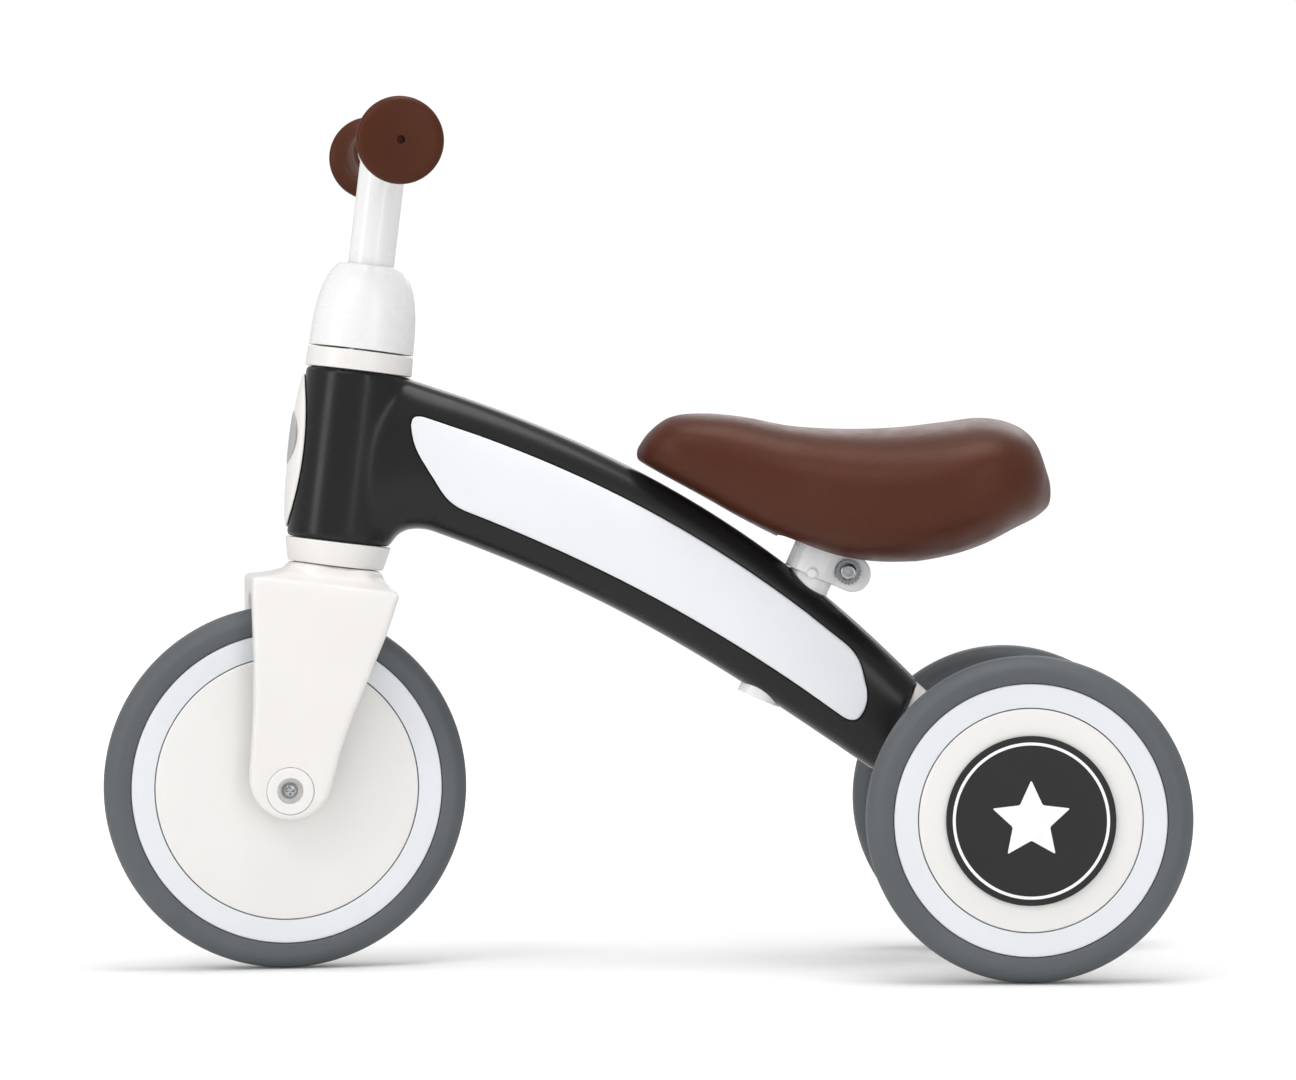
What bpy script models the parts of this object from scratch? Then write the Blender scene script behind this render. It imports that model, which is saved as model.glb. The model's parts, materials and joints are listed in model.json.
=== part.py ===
"""A toddler's push-along trike: one steered front wheel, two rear wheels, an arched frame.

Metres, +Z up. The front faces -Y and the rider's left is +X. The origin is on the floor
under the middle of the trike. The steering is stored turned a little to the left.
"""
from math import atan2, asin, copysign, cos, pi, radians, sin, sqrt

import bmesh
import bpy
from mathutils import Matrix, Vector

# ---- Driving dimensions -------------------------------------------------------------
GAP = 0.0003                  # left between pieces that touch
TRIM = 0.0002                 # taken off a face that a cut has to pass cleanly

WHEELBASE = 0.3838
FRONT_RADIUS = 0.095
REAR_RADIUS = 0.0825
REAR_HALF_TRACK = 0.090

HEAD_TILT = radians(7.05)     # steering axis, leaning back
STEERING_TURN = radians(9.6)  # stored turn to the left
FORK_OFFSET = 0.0122          # front axle ahead of the steering axis

# Heights along the steering axis, above the foot of its square to the front axle
LOWER_CUP_HEIGHT = 0.0124
HEAD_LENGTH = 0.0897
UPPER_CUP_HEIGHT = 0.0102
COLLAR_HEIGHT = 0.0446
HANDLEBAR_HEIGHT = 0.3385

HEAD_RADIUS = 0.0273
HEAD_BORE = 0.0220
STEERER_RADIUS = 0.0095
STEERER_WALL = 0.0015
STEM_RADIUS = 0.01215
CROSSBAR_RADIUS = 0.0120
HANDLEBAR_HALF_WIDTH = 0.0840
GRIP_LENGTH = 0.0600
GRIP_RADIUS = 0.0144
GRIP_FLANGE_RADIUS = 0.02265
LOCK_SCREW_RADIUS = 0.0025

TYRE_HALF_WIDTH = 0.0140
TREAD_HALF_WIDTH = 0.0055
TYRE_HEIGHT = 0.0138          # visible side of a tyre
RIM_RING = 0.0123             # visible ring of a rim
BEAD_DEPTH = 0.0027
BEAD_HALF_WIDTH = 0.0095
RIM_HALF_WIDTH = 0.0126
WEB_HALF_THICKNESS = 0.0020
WEB_RECESS = 0.0015           # of a rear rim's web behind its edge
DISC_FACE = 0.0122            # from the wheel's middle to the disc's edge
DISC_LIP = 0.0060             # depth of its turned-in edge
DISC_THICKNESS = 0.0022
DISC_DOME = 0.0012
HUB_RADIUS = 0.0120
FRONT_HUB_HALF_LENGTH = 0.0145
REAR_HUB_INNER = -0.0145      # ends of a rear hub, from the wheel's middle
REAR_HUB_OUTER = 0.0015
BUSH_WALL = 0.0030
BUSH_FLANGE = 0.0012
BUSH_LENGTH = 0.0080
WHEEL_STEPS = 32

FORK_HALF_WIDTH = 0.0330
FORK_SLOT_HALF_WIDTH = 0.0195
FORK_TIP_RADIUS = 0.0218
FORK_TIP_HEIGHT = 0.0065
CROWN_THICKNESS = 0.0197      # from over the tyre up to the lower bearing cup
NECK_RISE = 0.0102            # of the neck above the fork's shoulders
FORK_SHOULDER_HALF_LENGTH = 0.0402
FORK_SHOULDER_MIDDLE = -0.0067
NECK_RADIUS = 0.0243
TYRE_CLEARANCE = 0.0035       # from the front tyre up to the crown
INSERT_RADIUS = 0.0120
INSERT_RECESS_RADIUS = 0.0068
FRONT_AXLE_RADIUS = 0.0050
AXLE_SCREW_RADIUS = 0.0025
SCREW_HEAD_RADIUS = 0.0041

BEAM_HALF_WIDTH = 0.0230
BEAM_POWER = 2.6              # of the beam's superelliptic section
BEAM_SIDES = 20
BEAM_SECTIONS = 11
BEAM_END_TOP = (-0.0521, 0.0673)      # from the rear axle, along Y and Z
BEAM_END_BOTTOM = (-0.0741, 0.0193)
BEAM_TOP_BOW = ((0.40, 0.211), (0.698, 0.481))      # shares of its run and drop
BEAM_BOTTOM_BOW = ((0.439, 0.2855), (0.662, 0.575))
PANEL_DEPTH = 0.0060          # from the beam's side to the pocket's floor
PANEL_PROUD = 0.0003
PANEL_FRONT = 0.0             # shares of the beam's length
PANEL_REAR = 0.93
PANEL_CORNER = 0.009

BADGE_HALF_ANGLE = radians(36)
BADGE_HALF_HEIGHT = 0.0405
BADGE_THICKNESS = 0.0043

SEAT_STATION = 0.7498         # share of the beam's length where the seat tube crosses
SEAT_TILT = radians(23.6)
SLEEVE_RADIUS = 0.01165
SLEEVE_BELOW = 0.0349         # from the beam's middle to the sleeve's lower end
SLEEVE_LENGTH = 0.0900
POST_RADIUS = 0.0092
POST_WALL = 0.0015
CLAMP_SINK = 0.00042          # of the clamp's front into the beam
CLAMP_HEIGHT = 0.0190
CLAMP_WALL = 0.0029
CLAMP_BOLT_REACH = 0.0168     # from the post's axis back to the bolt
CLAMP_HALF_WIDTH = 0.0085
CLAMP_SLIT = 0.0030
CLAMP_BOLT_RADIUS = 0.0030
CLAMP_WASHER_RADIUS = 0.0068
NUT_POCKET = 0.0030

SEAT_ABOVE_SLEEVE = 0.0100    # from the sleeve's upper end to the seat point
SADDLE_CLEARANCE = 0.0030     # least height of the saddle over the beam
SADDLE_BACK = 0.1124          # from the seat point to the saddle's ends
SADDLE_FRONT = 0.1034
SADDLE_HALF_WIDTH = 0.0690
SADDLE_CROWN = 0.0585         # highest point above the seat point
SADDLE_HOLLOW_HALF_WIDTH = 0.0260
SADDLE_HOLLOW_FRONT = 0.0300
SADDLE_HOLLOW_BACK = 0.0420
SADDLE_HOLLOW_ROOF = 0.0170   # above the seat point
BASE_THICKNESS = 0.0035

REAR_AXLE_RADIUS = 0.0040
AXLE_TUBE_RADIUS = 0.0130
CARRIER_HALF_WIDTH = 0.0170
CARRIER_SPIGOT = 0.0340       # how far the carrier reaches into the beam
SPIGOT_HALF_WIDTH = 0.0120
WASHER_THICKNESS = 0.0012
NUT_THICKNESS = 0.0058
CARRIER_INSET = 0.0010        # from the beam's end outline to the carrier's
HUB_CAP_RADIUS = 0.0425
HUB_CAP_THICKNESS = 0.0016

# ---- Values worked out from them ----------------------------------------------------
FRONT_AXLE_Y = -(WHEELBASE + REAR_RADIUS - FRONT_RADIUS) / 2
REAR_AXLE = Vector((0, FRONT_AXLE_Y + WHEELBASE, REAR_RADIUS))
CAMBER = asin(sin(STEERING_TURN) * sin(HEAD_TILT))
FRONT_AXLE_HEIGHT = FRONT_RADIUS * cos(CAMBER) + TREAD_HALF_WIDTH * sin(CAMBER)
STEERING_POINT = Vector((
    0,
    FRONT_AXLE_Y + FORK_OFFSET * cos(STEERING_TURN) * cos(HEAD_TILT),
    FRONT_AXLE_HEIGHT - FORK_OFFSET * cos(STEERING_TURN) * sin(HEAD_TILT),
))
HEAD = Matrix.Translation(STEERING_POINT) @ Matrix.Rotation(-HEAD_TILT, 4, "X")
STEERING = HEAD @ Matrix.Rotation(STEERING_TURN, 4, "Z")
# SIDE turns a shape drawn in X and Y, and raised in Z, to lie in Y and Z, and run along X
SIDE = Matrix(((0, 0, 1, 0), (1, 0, 0, 0), (0, 1, 0, 0), (0, 0, 0, 1)))
MIRROR_SIDE = SIDE @ Matrix.Rotation(pi, 4, "Y")
# FRONT turns it to lie in X and Z, and run along -Y
FRONT = Matrix.Rotation(pi / 2, 4, "X")
AXLE_LEVELLING = atan2(cos(STEERING_TURN) * sin(HEAD_TILT), cos(HEAD_TILT))
FRONT_WHEEL = (
    STEERING
    @ Matrix.Translation((0, -FORK_OFFSET, 0))
    @ SIDE
    @ Matrix.Rotation(AXLE_LEVELLING, 4, "Z")
)

CROWN_UNDERSIDE = FRONT_RADIUS + TYRE_CLEARANCE
CROWN_TOP = CROWN_UNDERSIDE + CROWN_THICKNESS
FORK_SHOULDER_HEIGHT = CROWN_TOP - NECK_RISE
HEAD_BOTTOM = CROWN_TOP + GAP + LOWER_CUP_HEIGHT + GAP
HEAD_TOP = HEAD_BOTTOM + HEAD_LENGTH
COLLAR_BOTTOM = HEAD_TOP + GAP + UPPER_CUP_HEIGHT + 3 * GAP
COLLAR_TOP = COLLAR_BOTTOM + COLLAR_HEIGHT
STEM_BOTTOM = COLLAR_BOTTOM + 0.004
STEERER_TOP = COLLAR_BOTTOM + 0.030
LOCK_SCREW_HEIGHT = COLLAR_BOTTOM + 0.014
CROSSBAR_HALF_LENGTH = HANDLEBAR_HALF_WIDTH - 0.0040


# ---- Curves and outlines ------------------------------------------------------------
def bezier(points, t):
    """Point at t on the cubic through four control points."""
    a, b, c, d = (Vector(p) for p in points)
    s = 1 - t
    return a * s**3 + b * 3 * s * s * t + c * 3 * s * t * t + d * t**3


def mixed(a, b, share):
    """Value a share of the way from a to b."""
    return a + (b - a) * share


def powered(value, power):
    """Signed power, for superellipses."""
    return copysign(abs(value) ** power, value)


def arc(centre, radius, start, end, steps):
    """Points of an arc in the plane, from one angle to the other, in degrees."""
    angles = [radians(mixed(start, end, k / steps)) for k in range(steps + 1)]
    return [(centre[0] + radius * cos(a), centre[1] + radius * sin(a)) for a in angles]


def filleted(corners, steps=4):
    """Outline through (x, y, fillet) corners; a fillet takes under half of either side."""
    outline = []
    for k, (x, y, fillet) in enumerate(corners):
        here = Vector((x, y))
        if not fillet:
            outline.append(here)
            continue
        before = Vector(corners[k - 1][:2]) - here
        after = Vector(corners[(k + 1) % len(corners)][:2]) - here
        start = here + before.normalized() * min(fillet, before.length * 0.48)
        end = here + after.normalized() * min(fillet, after.length * 0.48)
        for step in range(steps + 1):
            t = step / steps
            outline.append(start * (1 - t) ** 2 + here * 2 * t * (1 - t) + end * t * t)
    return outline


def grown(outline, amount):
    """Anticlockwise outline moved outwards by an amount."""
    points = [Vector(p) for p in outline]
    moved = []
    for k, here in enumerate(points):
        along = (points[(k + 1) % len(points)] - points[k - 1]).normalized()
        moved.append(here + Vector((along.y, -along.x)) * amount)
    return moved


def ring(low, high, half_width, powers, count):
    """Superelliptic section across X, between a low and a high point of the YZ plane."""
    middle = Vector((0, *((Vector(low) + Vector(high)) / 2)))
    half = Vector((0, *((Vector(high) - Vector(low)) / 2)))
    points = []
    for k in range(count):
        angle = 2 * pi * (k + 0.5) / count
        power = 2 / (powers[0] if sin(angle) < 0 else powers[1])
        across = half_width * powered(cos(angle), power)
        points.append(middle + half * powered(sin(angle), power) + Vector((across, 0, 0)))
    return points


# ---- Making objects -----------------------------------------------------------------
def finish(name, colour, roughness, metallic=0.0):
    """A material of one colour."""
    material = bpy.data.materials.new(name)
    material.use_nodes = True
    shader = material.node_tree.nodes["Principled BSDF"]
    shader.inputs["Base Color"].default_value = (*colour, 1)
    shader.inputs["Roughness"].default_value = roughness
    shader.inputs["Metallic"].default_value = metallic
    return material


def placed(name, shape, placement, material=None, parent=None):
    """Object of a bmesh; with no material it is a cutter or a guide, and stays hidden."""
    bmesh.ops.recalc_face_normals(shape, faces=shape.faces)
    mesh = bpy.data.meshes.new(name)
    shape.to_mesh(mesh)
    shape.free()
    mesh.shade_smooth()
    mesh.set_sharp_from_angle(angle=radians(32))
    thing = bpy.data.objects.new(name, mesh)
    bpy.context.scene.collection.objects.link(thing)
    if parent:
        thing.parent = parent
        placement = parent.matrix_world.inverted() @ placement
    thing.matrix_local = placement
    if material:
        mesh.materials.append(material)
    else:
        thing.hide_render = True
        thing.display_type = "WIRE"
    return thing


def pivot(name, placement):
    """Empty on a joint's axis, its Z along the axis."""
    empty = bpy.data.objects.new(name, None)
    bpy.context.scene.collection.objects.link(empty)
    empty.matrix_world = placement
    empty.empty_display_size = 0.03
    bpy.context.view_layer.update()
    return empty


def turned_shape(outline, steps):
    """Solid of revolution of a closed (radius, height) outline; radii go to the flats."""
    shape = bmesh.new()
    spread = 1 / cos(pi / steps)
    half_step = Matrix.Rotation(pi / steps, 3, "Z")
    points = [shape.verts.new(half_step @ Vector((r * spread, 0, z))) for r, z in outline]
    edges = [shape.edges.new(pair) for pair in zip(points, points[1:] + points[:1])
             if pair[0].co.xy.length + pair[1].co.xy.length > 1e-6]
    bmesh.ops.spin(shape, geom=points + edges, cent=(0, 0, 0), axis=(0, 0, 1),
                   angle=2 * pi, steps=steps, use_merge=True)
    bmesh.ops.remove_doubles(shape, verts=shape.verts, dist=1e-6)
    return shape


def turned(name, outline, steps, placement, material=None, parent=None):
    return placed(name, turned_shape(outline, steps), placement, material, parent)


def cylinder(name, radius, low, high, placement, material=None, parent=None, steps=20):
    outline = [(0, low), (radius, low), (radius, high), (0, high)]
    return turned(name, outline, steps, placement, material, parent)


def tube(name, outer, inner, low, high, placement, material=None, parent=None, steps=20):
    outline = [(inner, low), (outer, low), (outer, high), (inner, high)]
    return turned(name, outline, steps, placement, material, parent)


def extruded(name, outline, low, high, placement, material=None, parent=None):
    """Prism of an outline drawn in X and Y, from a low to a high Z."""
    shape = bmesh.new()
    base = shape.faces.new([shape.verts.new((x, y, low)) for x, y in outline])
    raised = bmesh.ops.extrude_face_region(shape, geom=[base])["geom"]
    corners = [item for item in raised if isinstance(item, bmesh.types.BMVert)]
    bmesh.ops.translate(shape, verts=corners, vec=(0, 0, high - low))
    return placed(name, shape, placement, material, parent)


def lofted(name, rings, placement, material=None, parent=None):
    """Solid through a list of rings, closed by a flat face at each end."""
    shape = bmesh.new()
    rows = [[shape.verts.new(point) for point in points] for points in rings]
    for row, following in zip(rows, rows[1:]):
        for k in range(len(row)):
            j = (k + 1) % len(row)
            shape.faces.new((row[k], row[j], following[j], following[k]))
    shape.faces.new(rows[0])
    shape.faces.new(rows[-1])
    return placed(name, shape, placement, material, parent)


def combined(target, *others, operation="DIFFERENCE"):
    """Target with other objects cut away, joined on or kept only where they meet."""
    for other in others:
        modifier = target.modifiers.new(other.name, "BOOLEAN")
        modifier.operation = operation
        modifier.solver = "EXACT"
        modifier.object = other
    return target


# ---- Wheels -------------------------------------------------------------------------
def mirrored_outline(half):
    """Closed outline from its outer half, mirrored to the other side of the wheel."""
    return half + [(r, -z) for r, z in reversed(half)]


def wheel_radii(radius):
    """Radii of the rim's edge, of the tyre's seat and of the disc."""
    edge = radius - TYRE_HEIGHT
    return edge, edge - BEAD_DEPTH, edge - RIM_RING


def tyre(name, radius, frame, parent):
    """Tyre with a flat tread, a sloped shoulder and a bead that drops into the rim."""
    edge, seat, _ = wheel_radii(radius)
    half = [
        (seat + GAP, BEAD_HALF_WIDTH),
        (edge + GAP, BEAD_HALF_WIDTH),
        (edge + GAP, TYRE_HALF_WIDTH - 0.0011),
        (radius - 0.0080, TYRE_HALF_WIDTH),
        (radius - 0.0026, TYRE_HALF_WIDTH - 0.0034),
        (radius, TREAD_HALF_WIDTH),
    ]
    outline = mirrored_outline(half)
    turned(name, outline, WHEEL_STEPS, frame, tyre_rubber, parent)


def rim(name, radius, web, hub_ends, bore, frame, parent):
    """Rim, web and hub in one; the web's middle and the hub's ends are places on the axle."""
    edge, seat, disc = wheel_radii(radius)
    channel = BEAD_HALF_WIDTH + GAP
    inner, outer = hub_ends
    outline = [(HUB_RADIUS, outer), (bore, outer), (bore, inner), (HUB_RADIUS, inner)]
    for side in (-1, 1):
        half = [
            (HUB_RADIUS, web + side * WEB_HALF_THICKNESS),
            (disc + GAP, web + side * WEB_HALF_THICKNESS),
            (disc + GAP, side * (RIM_HALF_WIDTH - 0.0006)),
            (edge, side * RIM_HALF_WIDTH),
            (edge, side * channel),
            (seat, side * channel),
        ]
        outline += half if side < 0 else half[::-1]
    turned(name, outline, WHEEL_STEPS, frame, rim_plastic, parent)


def wheel_disc(name, radius, opening, frame, parent):
    """Slightly domed cover with a turned-in edge, on the side where the frame's Z points."""
    disc = wheel_radii(radius)[2]
    lip = DISC_FACE - DISC_LIP
    outline = [
        (opening, DISC_FACE + DISC_DOME - DISC_THICKNESS),
        (disc - DISC_THICKNESS, DISC_FACE - DISC_THICKNESS),
        (disc - DISC_THICKNESS, lip),
        (disc, lip),
        (disc, DISC_FACE),
        (opening, DISC_FACE + DISC_DOME),
    ]
    turned(name, outline, WHEEL_STEPS, frame, disc_plastic, parent)


def bush(name, shaft, hub_end, outward, frame, parent):
    """Flanged bush pushed into the hub's end; outward is the side it goes in from."""
    bore = shaft + GAP
    body = bore + BUSH_WALL
    outline = [
        (bore, hub_end - outward * BUSH_LENGTH),
        (body, hub_end - outward * BUSH_LENGTH),
        (body, hub_end + outward * GAP),
        (body + 0.0022, hub_end + outward * GAP),
        (body + 0.0022, hub_end + outward * (GAP + BUSH_FLANGE)),
        (bore, hub_end + outward * (GAP + BUSH_FLANGE)),
    ]
    turned(name, outline, 12, frame, nylon, parent)


def hub_bore(shaft):
    """Radius of the hub's hole for a bush on this shaft."""
    return shaft + GAP + BUSH_WALL + GAP


# ---- Front wheel --------------------------------------------------------------------
def front_wheel(parent):
    frame = FRONT_WHEEL
    flipped = frame @ Matrix.Rotation(pi, 4, "X")
    hub_ends = (-FRONT_HUB_HALF_LENGTH, FRONT_HUB_HALF_LENGTH)
    tyre("front_tyre", FRONT_RADIUS, frame, parent)
    rim("front_rim", FRONT_RADIUS, 0, hub_ends, hub_bore(FRONT_AXLE_RADIUS), frame, parent)
    opening = HUB_RADIUS + 4 * GAP
    wheel_disc("front_wheel_disc_left", FRONT_RADIUS, opening, frame, parent)
    wheel_disc("front_wheel_disc_right", FRONT_RADIUS, opening, flipped, parent)
    for side, outward in (("left", 1), ("right", -1)):
        bush("front_hub_bush_" + side, FRONT_AXLE_RADIUS, outward * FRONT_HUB_HALF_LENGTH,
             outward, frame, parent)


# ---- Rear wheels --------------------------------------------------------------------
def rear_wheel(side, outward, parent):
    """One rear wheel; its own Z points away from the trike."""
    centre = REAR_AXLE + Vector((outward * REAR_HALF_TRACK, 0, 0))
    frame = Matrix.Translation(centre) @ (SIDE if outward > 0 else MIRROR_SIDE)
    bore = hub_bore(REAR_AXLE_RADIUS)
    tyre("rear_tyre_" + side, REAR_RADIUS, frame, parent)
    # the web closes the wheel's inner side, where no disc covers it
    web = WEB_RECESS + WEB_HALF_THICKNESS - RIM_HALF_WIDTH
    hub_ends = (REAR_HUB_INNER, REAR_HUB_OUTER)
    rim("rear_rim_" + side, REAR_RADIUS, web, hub_ends, bore, frame, parent)
    wheel_disc("rear_wheel_disc_" + side, REAR_RADIUS, HUB_CAP_RADIUS / 2, frame, parent)
    bush("rear_inner_bush_" + side, REAR_AXLE_RADIUS, REAR_HUB_INNER, -1, frame, parent)
    bush("rear_outer_bush_" + side, REAR_AXLE_RADIUS, REAR_HUB_OUTER, 1, frame, parent)
    seat = DISC_FACE + DISC_DOME + GAP
    edge = seat + HUB_CAP_THICKNESS
    cap = [
        (0, seat),
        (HUB_CAP_RADIUS, seat),
        (HUB_CAP_RADIUS, edge - 0.0006),
        (HUB_CAP_RADIUS - 0.0006, edge),
        (0, edge),
    ]
    turned("hub_cap_" + side, cap, WHEEL_STEPS, frame, label_dark, parent)


def rear_axle():
    """Steel rod across both wheels, and a washer and lock nut on each end."""
    stack = REAR_HUB_OUTER + GAP + BUSH_FLANGE + GAP
    rod_end = REAR_HALF_TRACK + stack + WASHER_THICKNESS + GAP + NUT_THICKNESS
    middle = Matrix.Translation(REAR_AXLE) @ SIDE
    cylinder("rear_axle", REAR_AXLE_RADIUS, -rod_end, rod_end, middle, steel, steps=12)
    for side, outward in (("left", 1), ("right", -1)):
        centre = REAR_AXLE + Vector((outward * REAR_HALF_TRACK, 0, 0))
        frame = Matrix.Translation(centre) @ (SIDE if outward > 0 else MIRROR_SIDE)
        bore = REAR_AXLE_RADIUS + GAP
        tube("axle_washer_" + side, 0.0080, bore, stack, stack + WASHER_THICKNESS,
             frame, steel, steps=12)
        low = stack + WASHER_THICKNESS + GAP
        nut = turned("axle_nut_" + side, [(0, low), (0.0065, low),
                     (0.0065, low + NUT_THICKNESS), (0, low + NUT_THICKNESS)], 6,
                     frame, steel)
        hole = cylinder("cut_axle_nut_" + side, bore, low - 0.001,
                        low + NUT_THICKNESS + 0.001, frame, steps=12)
        combined(nut, hole)


# ---- Fork ---------------------------------------------------------------------------
def fork_flare(shoulder, neck):
    """Hollow curve from a shoulder up to the neck, which it stops just short of."""
    rise = CROWN_TOP - TRIM - FORK_SHOULDER_HEIGHT
    curve = [
        (shoulder, FORK_SHOULDER_HEIGHT),
        (mixed(shoulder, neck, 0.45), FORK_SHOULDER_HEIGHT + rise * 0.15),
        (neck, FORK_SHOULDER_HEIGHT + rise * 0.35),
        (neck, FORK_SHOULDER_HEIGHT + rise),
    ]
    return [bezier(curve, t) for t in (0.06, 0.3, 0.55, 0.8, 1)]


def fork_outline():
    """Side of the fork in the steering frame's Y and Z: round tip, wide shoulders, neck."""
    tip = (-FORK_OFFSET, FORK_TIP_HEIGHT)
    outline = arc(tip, FORK_TIP_RADIUS, 180, 360, 12)
    middle = FORK_SHOULDER_MIDDLE
    for side, bow in ((1, 0.70), (-1, 0.30)):
        foot = -FORK_OFFSET + side * FORK_TIP_RADIUS
        shoulder = middle + side * FORK_SHOULDER_HALF_LENGTH
        edge = [
            (foot, FORK_TIP_HEIGHT),
            (mixed(foot, shoulder, 0.04), mixed(FORK_TIP_HEIGHT, FORK_SHOULDER_HEIGHT, 0.25)),
            (mixed(foot, shoulder, bow), mixed(FORK_TIP_HEIGHT, FORK_SHOULDER_HEIGHT, 0.66)),
            (shoulder, FORK_SHOULDER_HEIGHT),
        ]
        points = [bezier(edge, t) for t in (0.2, 0.4, 0.6, 0.8)]
        points += fork_flare(shoulder, side * (NECK_RADIUS - TRIM))
        outline += points if side > 0 else points[::-1]
    return outline


def fork_front_outline():
    """Front of the fork in X and Z, with the slot for the wheel between its legs."""
    width = FORK_HALF_WIDTH
    shoulder = width + 0.0012
    bottom = FORK_TIP_HEIGHT - FORK_TIP_RADIUS - 0.002
    slot = FORK_SLOT_HALF_WIDTH
    right = [Vector((width, bottom)), Vector((shoulder, FORK_SHOULDER_HEIGHT - 0.012))]
    right += fork_flare(shoulder, NECK_RADIUS - TRIM)
    inside = filleted([(-slot, bottom, 0), (-slot, CROWN_UNDERSIDE, 0.007),
                       (slot, CROWN_UNDERSIDE, 0.007), (slot, bottom, 0)])
    return right + [Vector((-x, z)) for x, z in reversed(right)] + inside


def fork(parent):
    frame = STEERING
    axle = frame @ Matrix.Translation((0, -FORK_OFFSET, 0)) @ SIDE
    body = extruded("fork", fork_outline(), -0.04, 0.04, frame @ SIDE, warm_white, parent)
    front = extruded("guide_fork_front", fork_front_outline(), -0.06, 0.07, frame @ FRONT)
    neck = cylinder("guide_fork_neck", NECK_RADIUS, FORK_SHOULDER_HEIGHT - 0.004, CROWN_TOP,
                    frame, steps=32)
    # above the shoulders only the round neck is left
    collar_space = tube("cut_fork_shoulder", 0.08, NECK_RADIUS + 0.004,
                        mixed(FORK_SHOULDER_HEIGHT, CROWN_TOP, 0.55), CROWN_TOP + 0.002,
                        frame, steps=32)
    socket = cylinder("cut_fork_socket", STEERER_RADIUS + GAP, CROWN_UNDERSIDE - 0.002,
                      CROWN_TOP + 0.002, frame)
    bore = cylinder("cut_fork_inserts", INSERT_RADIUS + GAP, -0.05, 0.05, axle)
    combined(body, front, operation="INTERSECT")
    combined(body, collar_space)
    combined(body, neck, operation="UNION")
    combined(body, socket, bore)


def fork_fittings(parent):
    """Leg inserts, axle tube, screws and the spacers beside the wheel's hub."""
    axle = STEERING @ Matrix.Translation((0, -FORK_OFFSET, 0)) @ SIDE
    inner = FORK_SLOT_HALF_WIDTH + GAP
    shelf = FORK_HALF_WIDTH - 0.0055
    hole = AXLE_SCREW_RADIUS + GAP
    spacer_start = FRONT_HUB_HALF_LENGTH + 2 * GAP + BUSH_FLANGE
    tube("front_axle", FRONT_AXLE_RADIUS, hole, GAP - inner, inner - GAP, axle, steel,
         parent, 12)
    for side, outward in (("left", 1), ("right", -1)):
        frame = axle if outward > 0 else axle @ Matrix.Rotation(pi, 4, "Y")
        insert = [
            (hole, inner),
            (INSERT_RADIUS, inner),
            (INSERT_RADIUS, FORK_HALF_WIDTH + 0.0004),
            (INSERT_RECESS_RADIUS, FORK_HALF_WIDTH + 0.0004),
            (INSERT_RECESS_RADIUS, shelf),
            (hole, shelf),
        ]
        turned("fork_insert_" + side, insert, 16, frame, disc_plastic, parent)
        head = shelf + GAP
        screw = [
            (0, inner - 0.012),
            (AXLE_SCREW_RADIUS, inner - 0.012),
            (AXLE_SCREW_RADIUS, head),
            (SCREW_HEAD_RADIUS, head),
            (SCREW_HEAD_RADIUS, head + 0.0016),
            (SCREW_HEAD_RADIUS * 0.6, head + 0.0028),
            (0, head + 0.0028),
        ]
        turned("front_axle_screw_" + side, screw, 12, frame, steel, parent)
        tube("hub_spacer_" + side, FRONT_AXLE_RADIUS + 0.0035, FRONT_AXLE_RADIUS + GAP,
             spacer_start, FORK_SLOT_HALF_WIDTH - GAP, frame, nylon, parent, 12)


# ---- Handlebar ----------------------------------------------------------------------
def collar_outline():
    """Bell: nearly straight at the bottom, drawn in to a rounded shoulder at the top."""
    side = [
        (HEAD_RADIUS + 0.0002, COLLAR_BOTTOM),
        (HEAD_RADIUS + 0.0002, COLLAR_BOTTOM + COLLAR_HEIGHT * 0.45),
        (HEAD_RADIUS - 0.0020, COLLAR_BOTTOM + COLLAR_HEIGHT * 0.80),
        (0.0172, COLLAR_TOP),
    ]
    outline = [bezier(side, k / 7) for k in range(8)]
    bore = STEM_RADIUS + GAP
    outline += [(bore, COLLAR_TOP), (bore, STEM_BOTTOM - GAP)]
    outline += [(STEERER_RADIUS + GAP, STEM_BOTTOM - GAP), (STEERER_RADIUS + GAP, COLLAR_BOTTOM)]
    return outline


def lock_screw_hole(name, radius):
    """Cutter from the steerer's middle out through the back of the collar."""
    frame = STEERING @ Matrix.Translation((0, 0, LOCK_SCREW_HEIGHT))
    return cylinder(name, radius, -0.04, 0.0, frame @ FRONT, steps=12)


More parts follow.
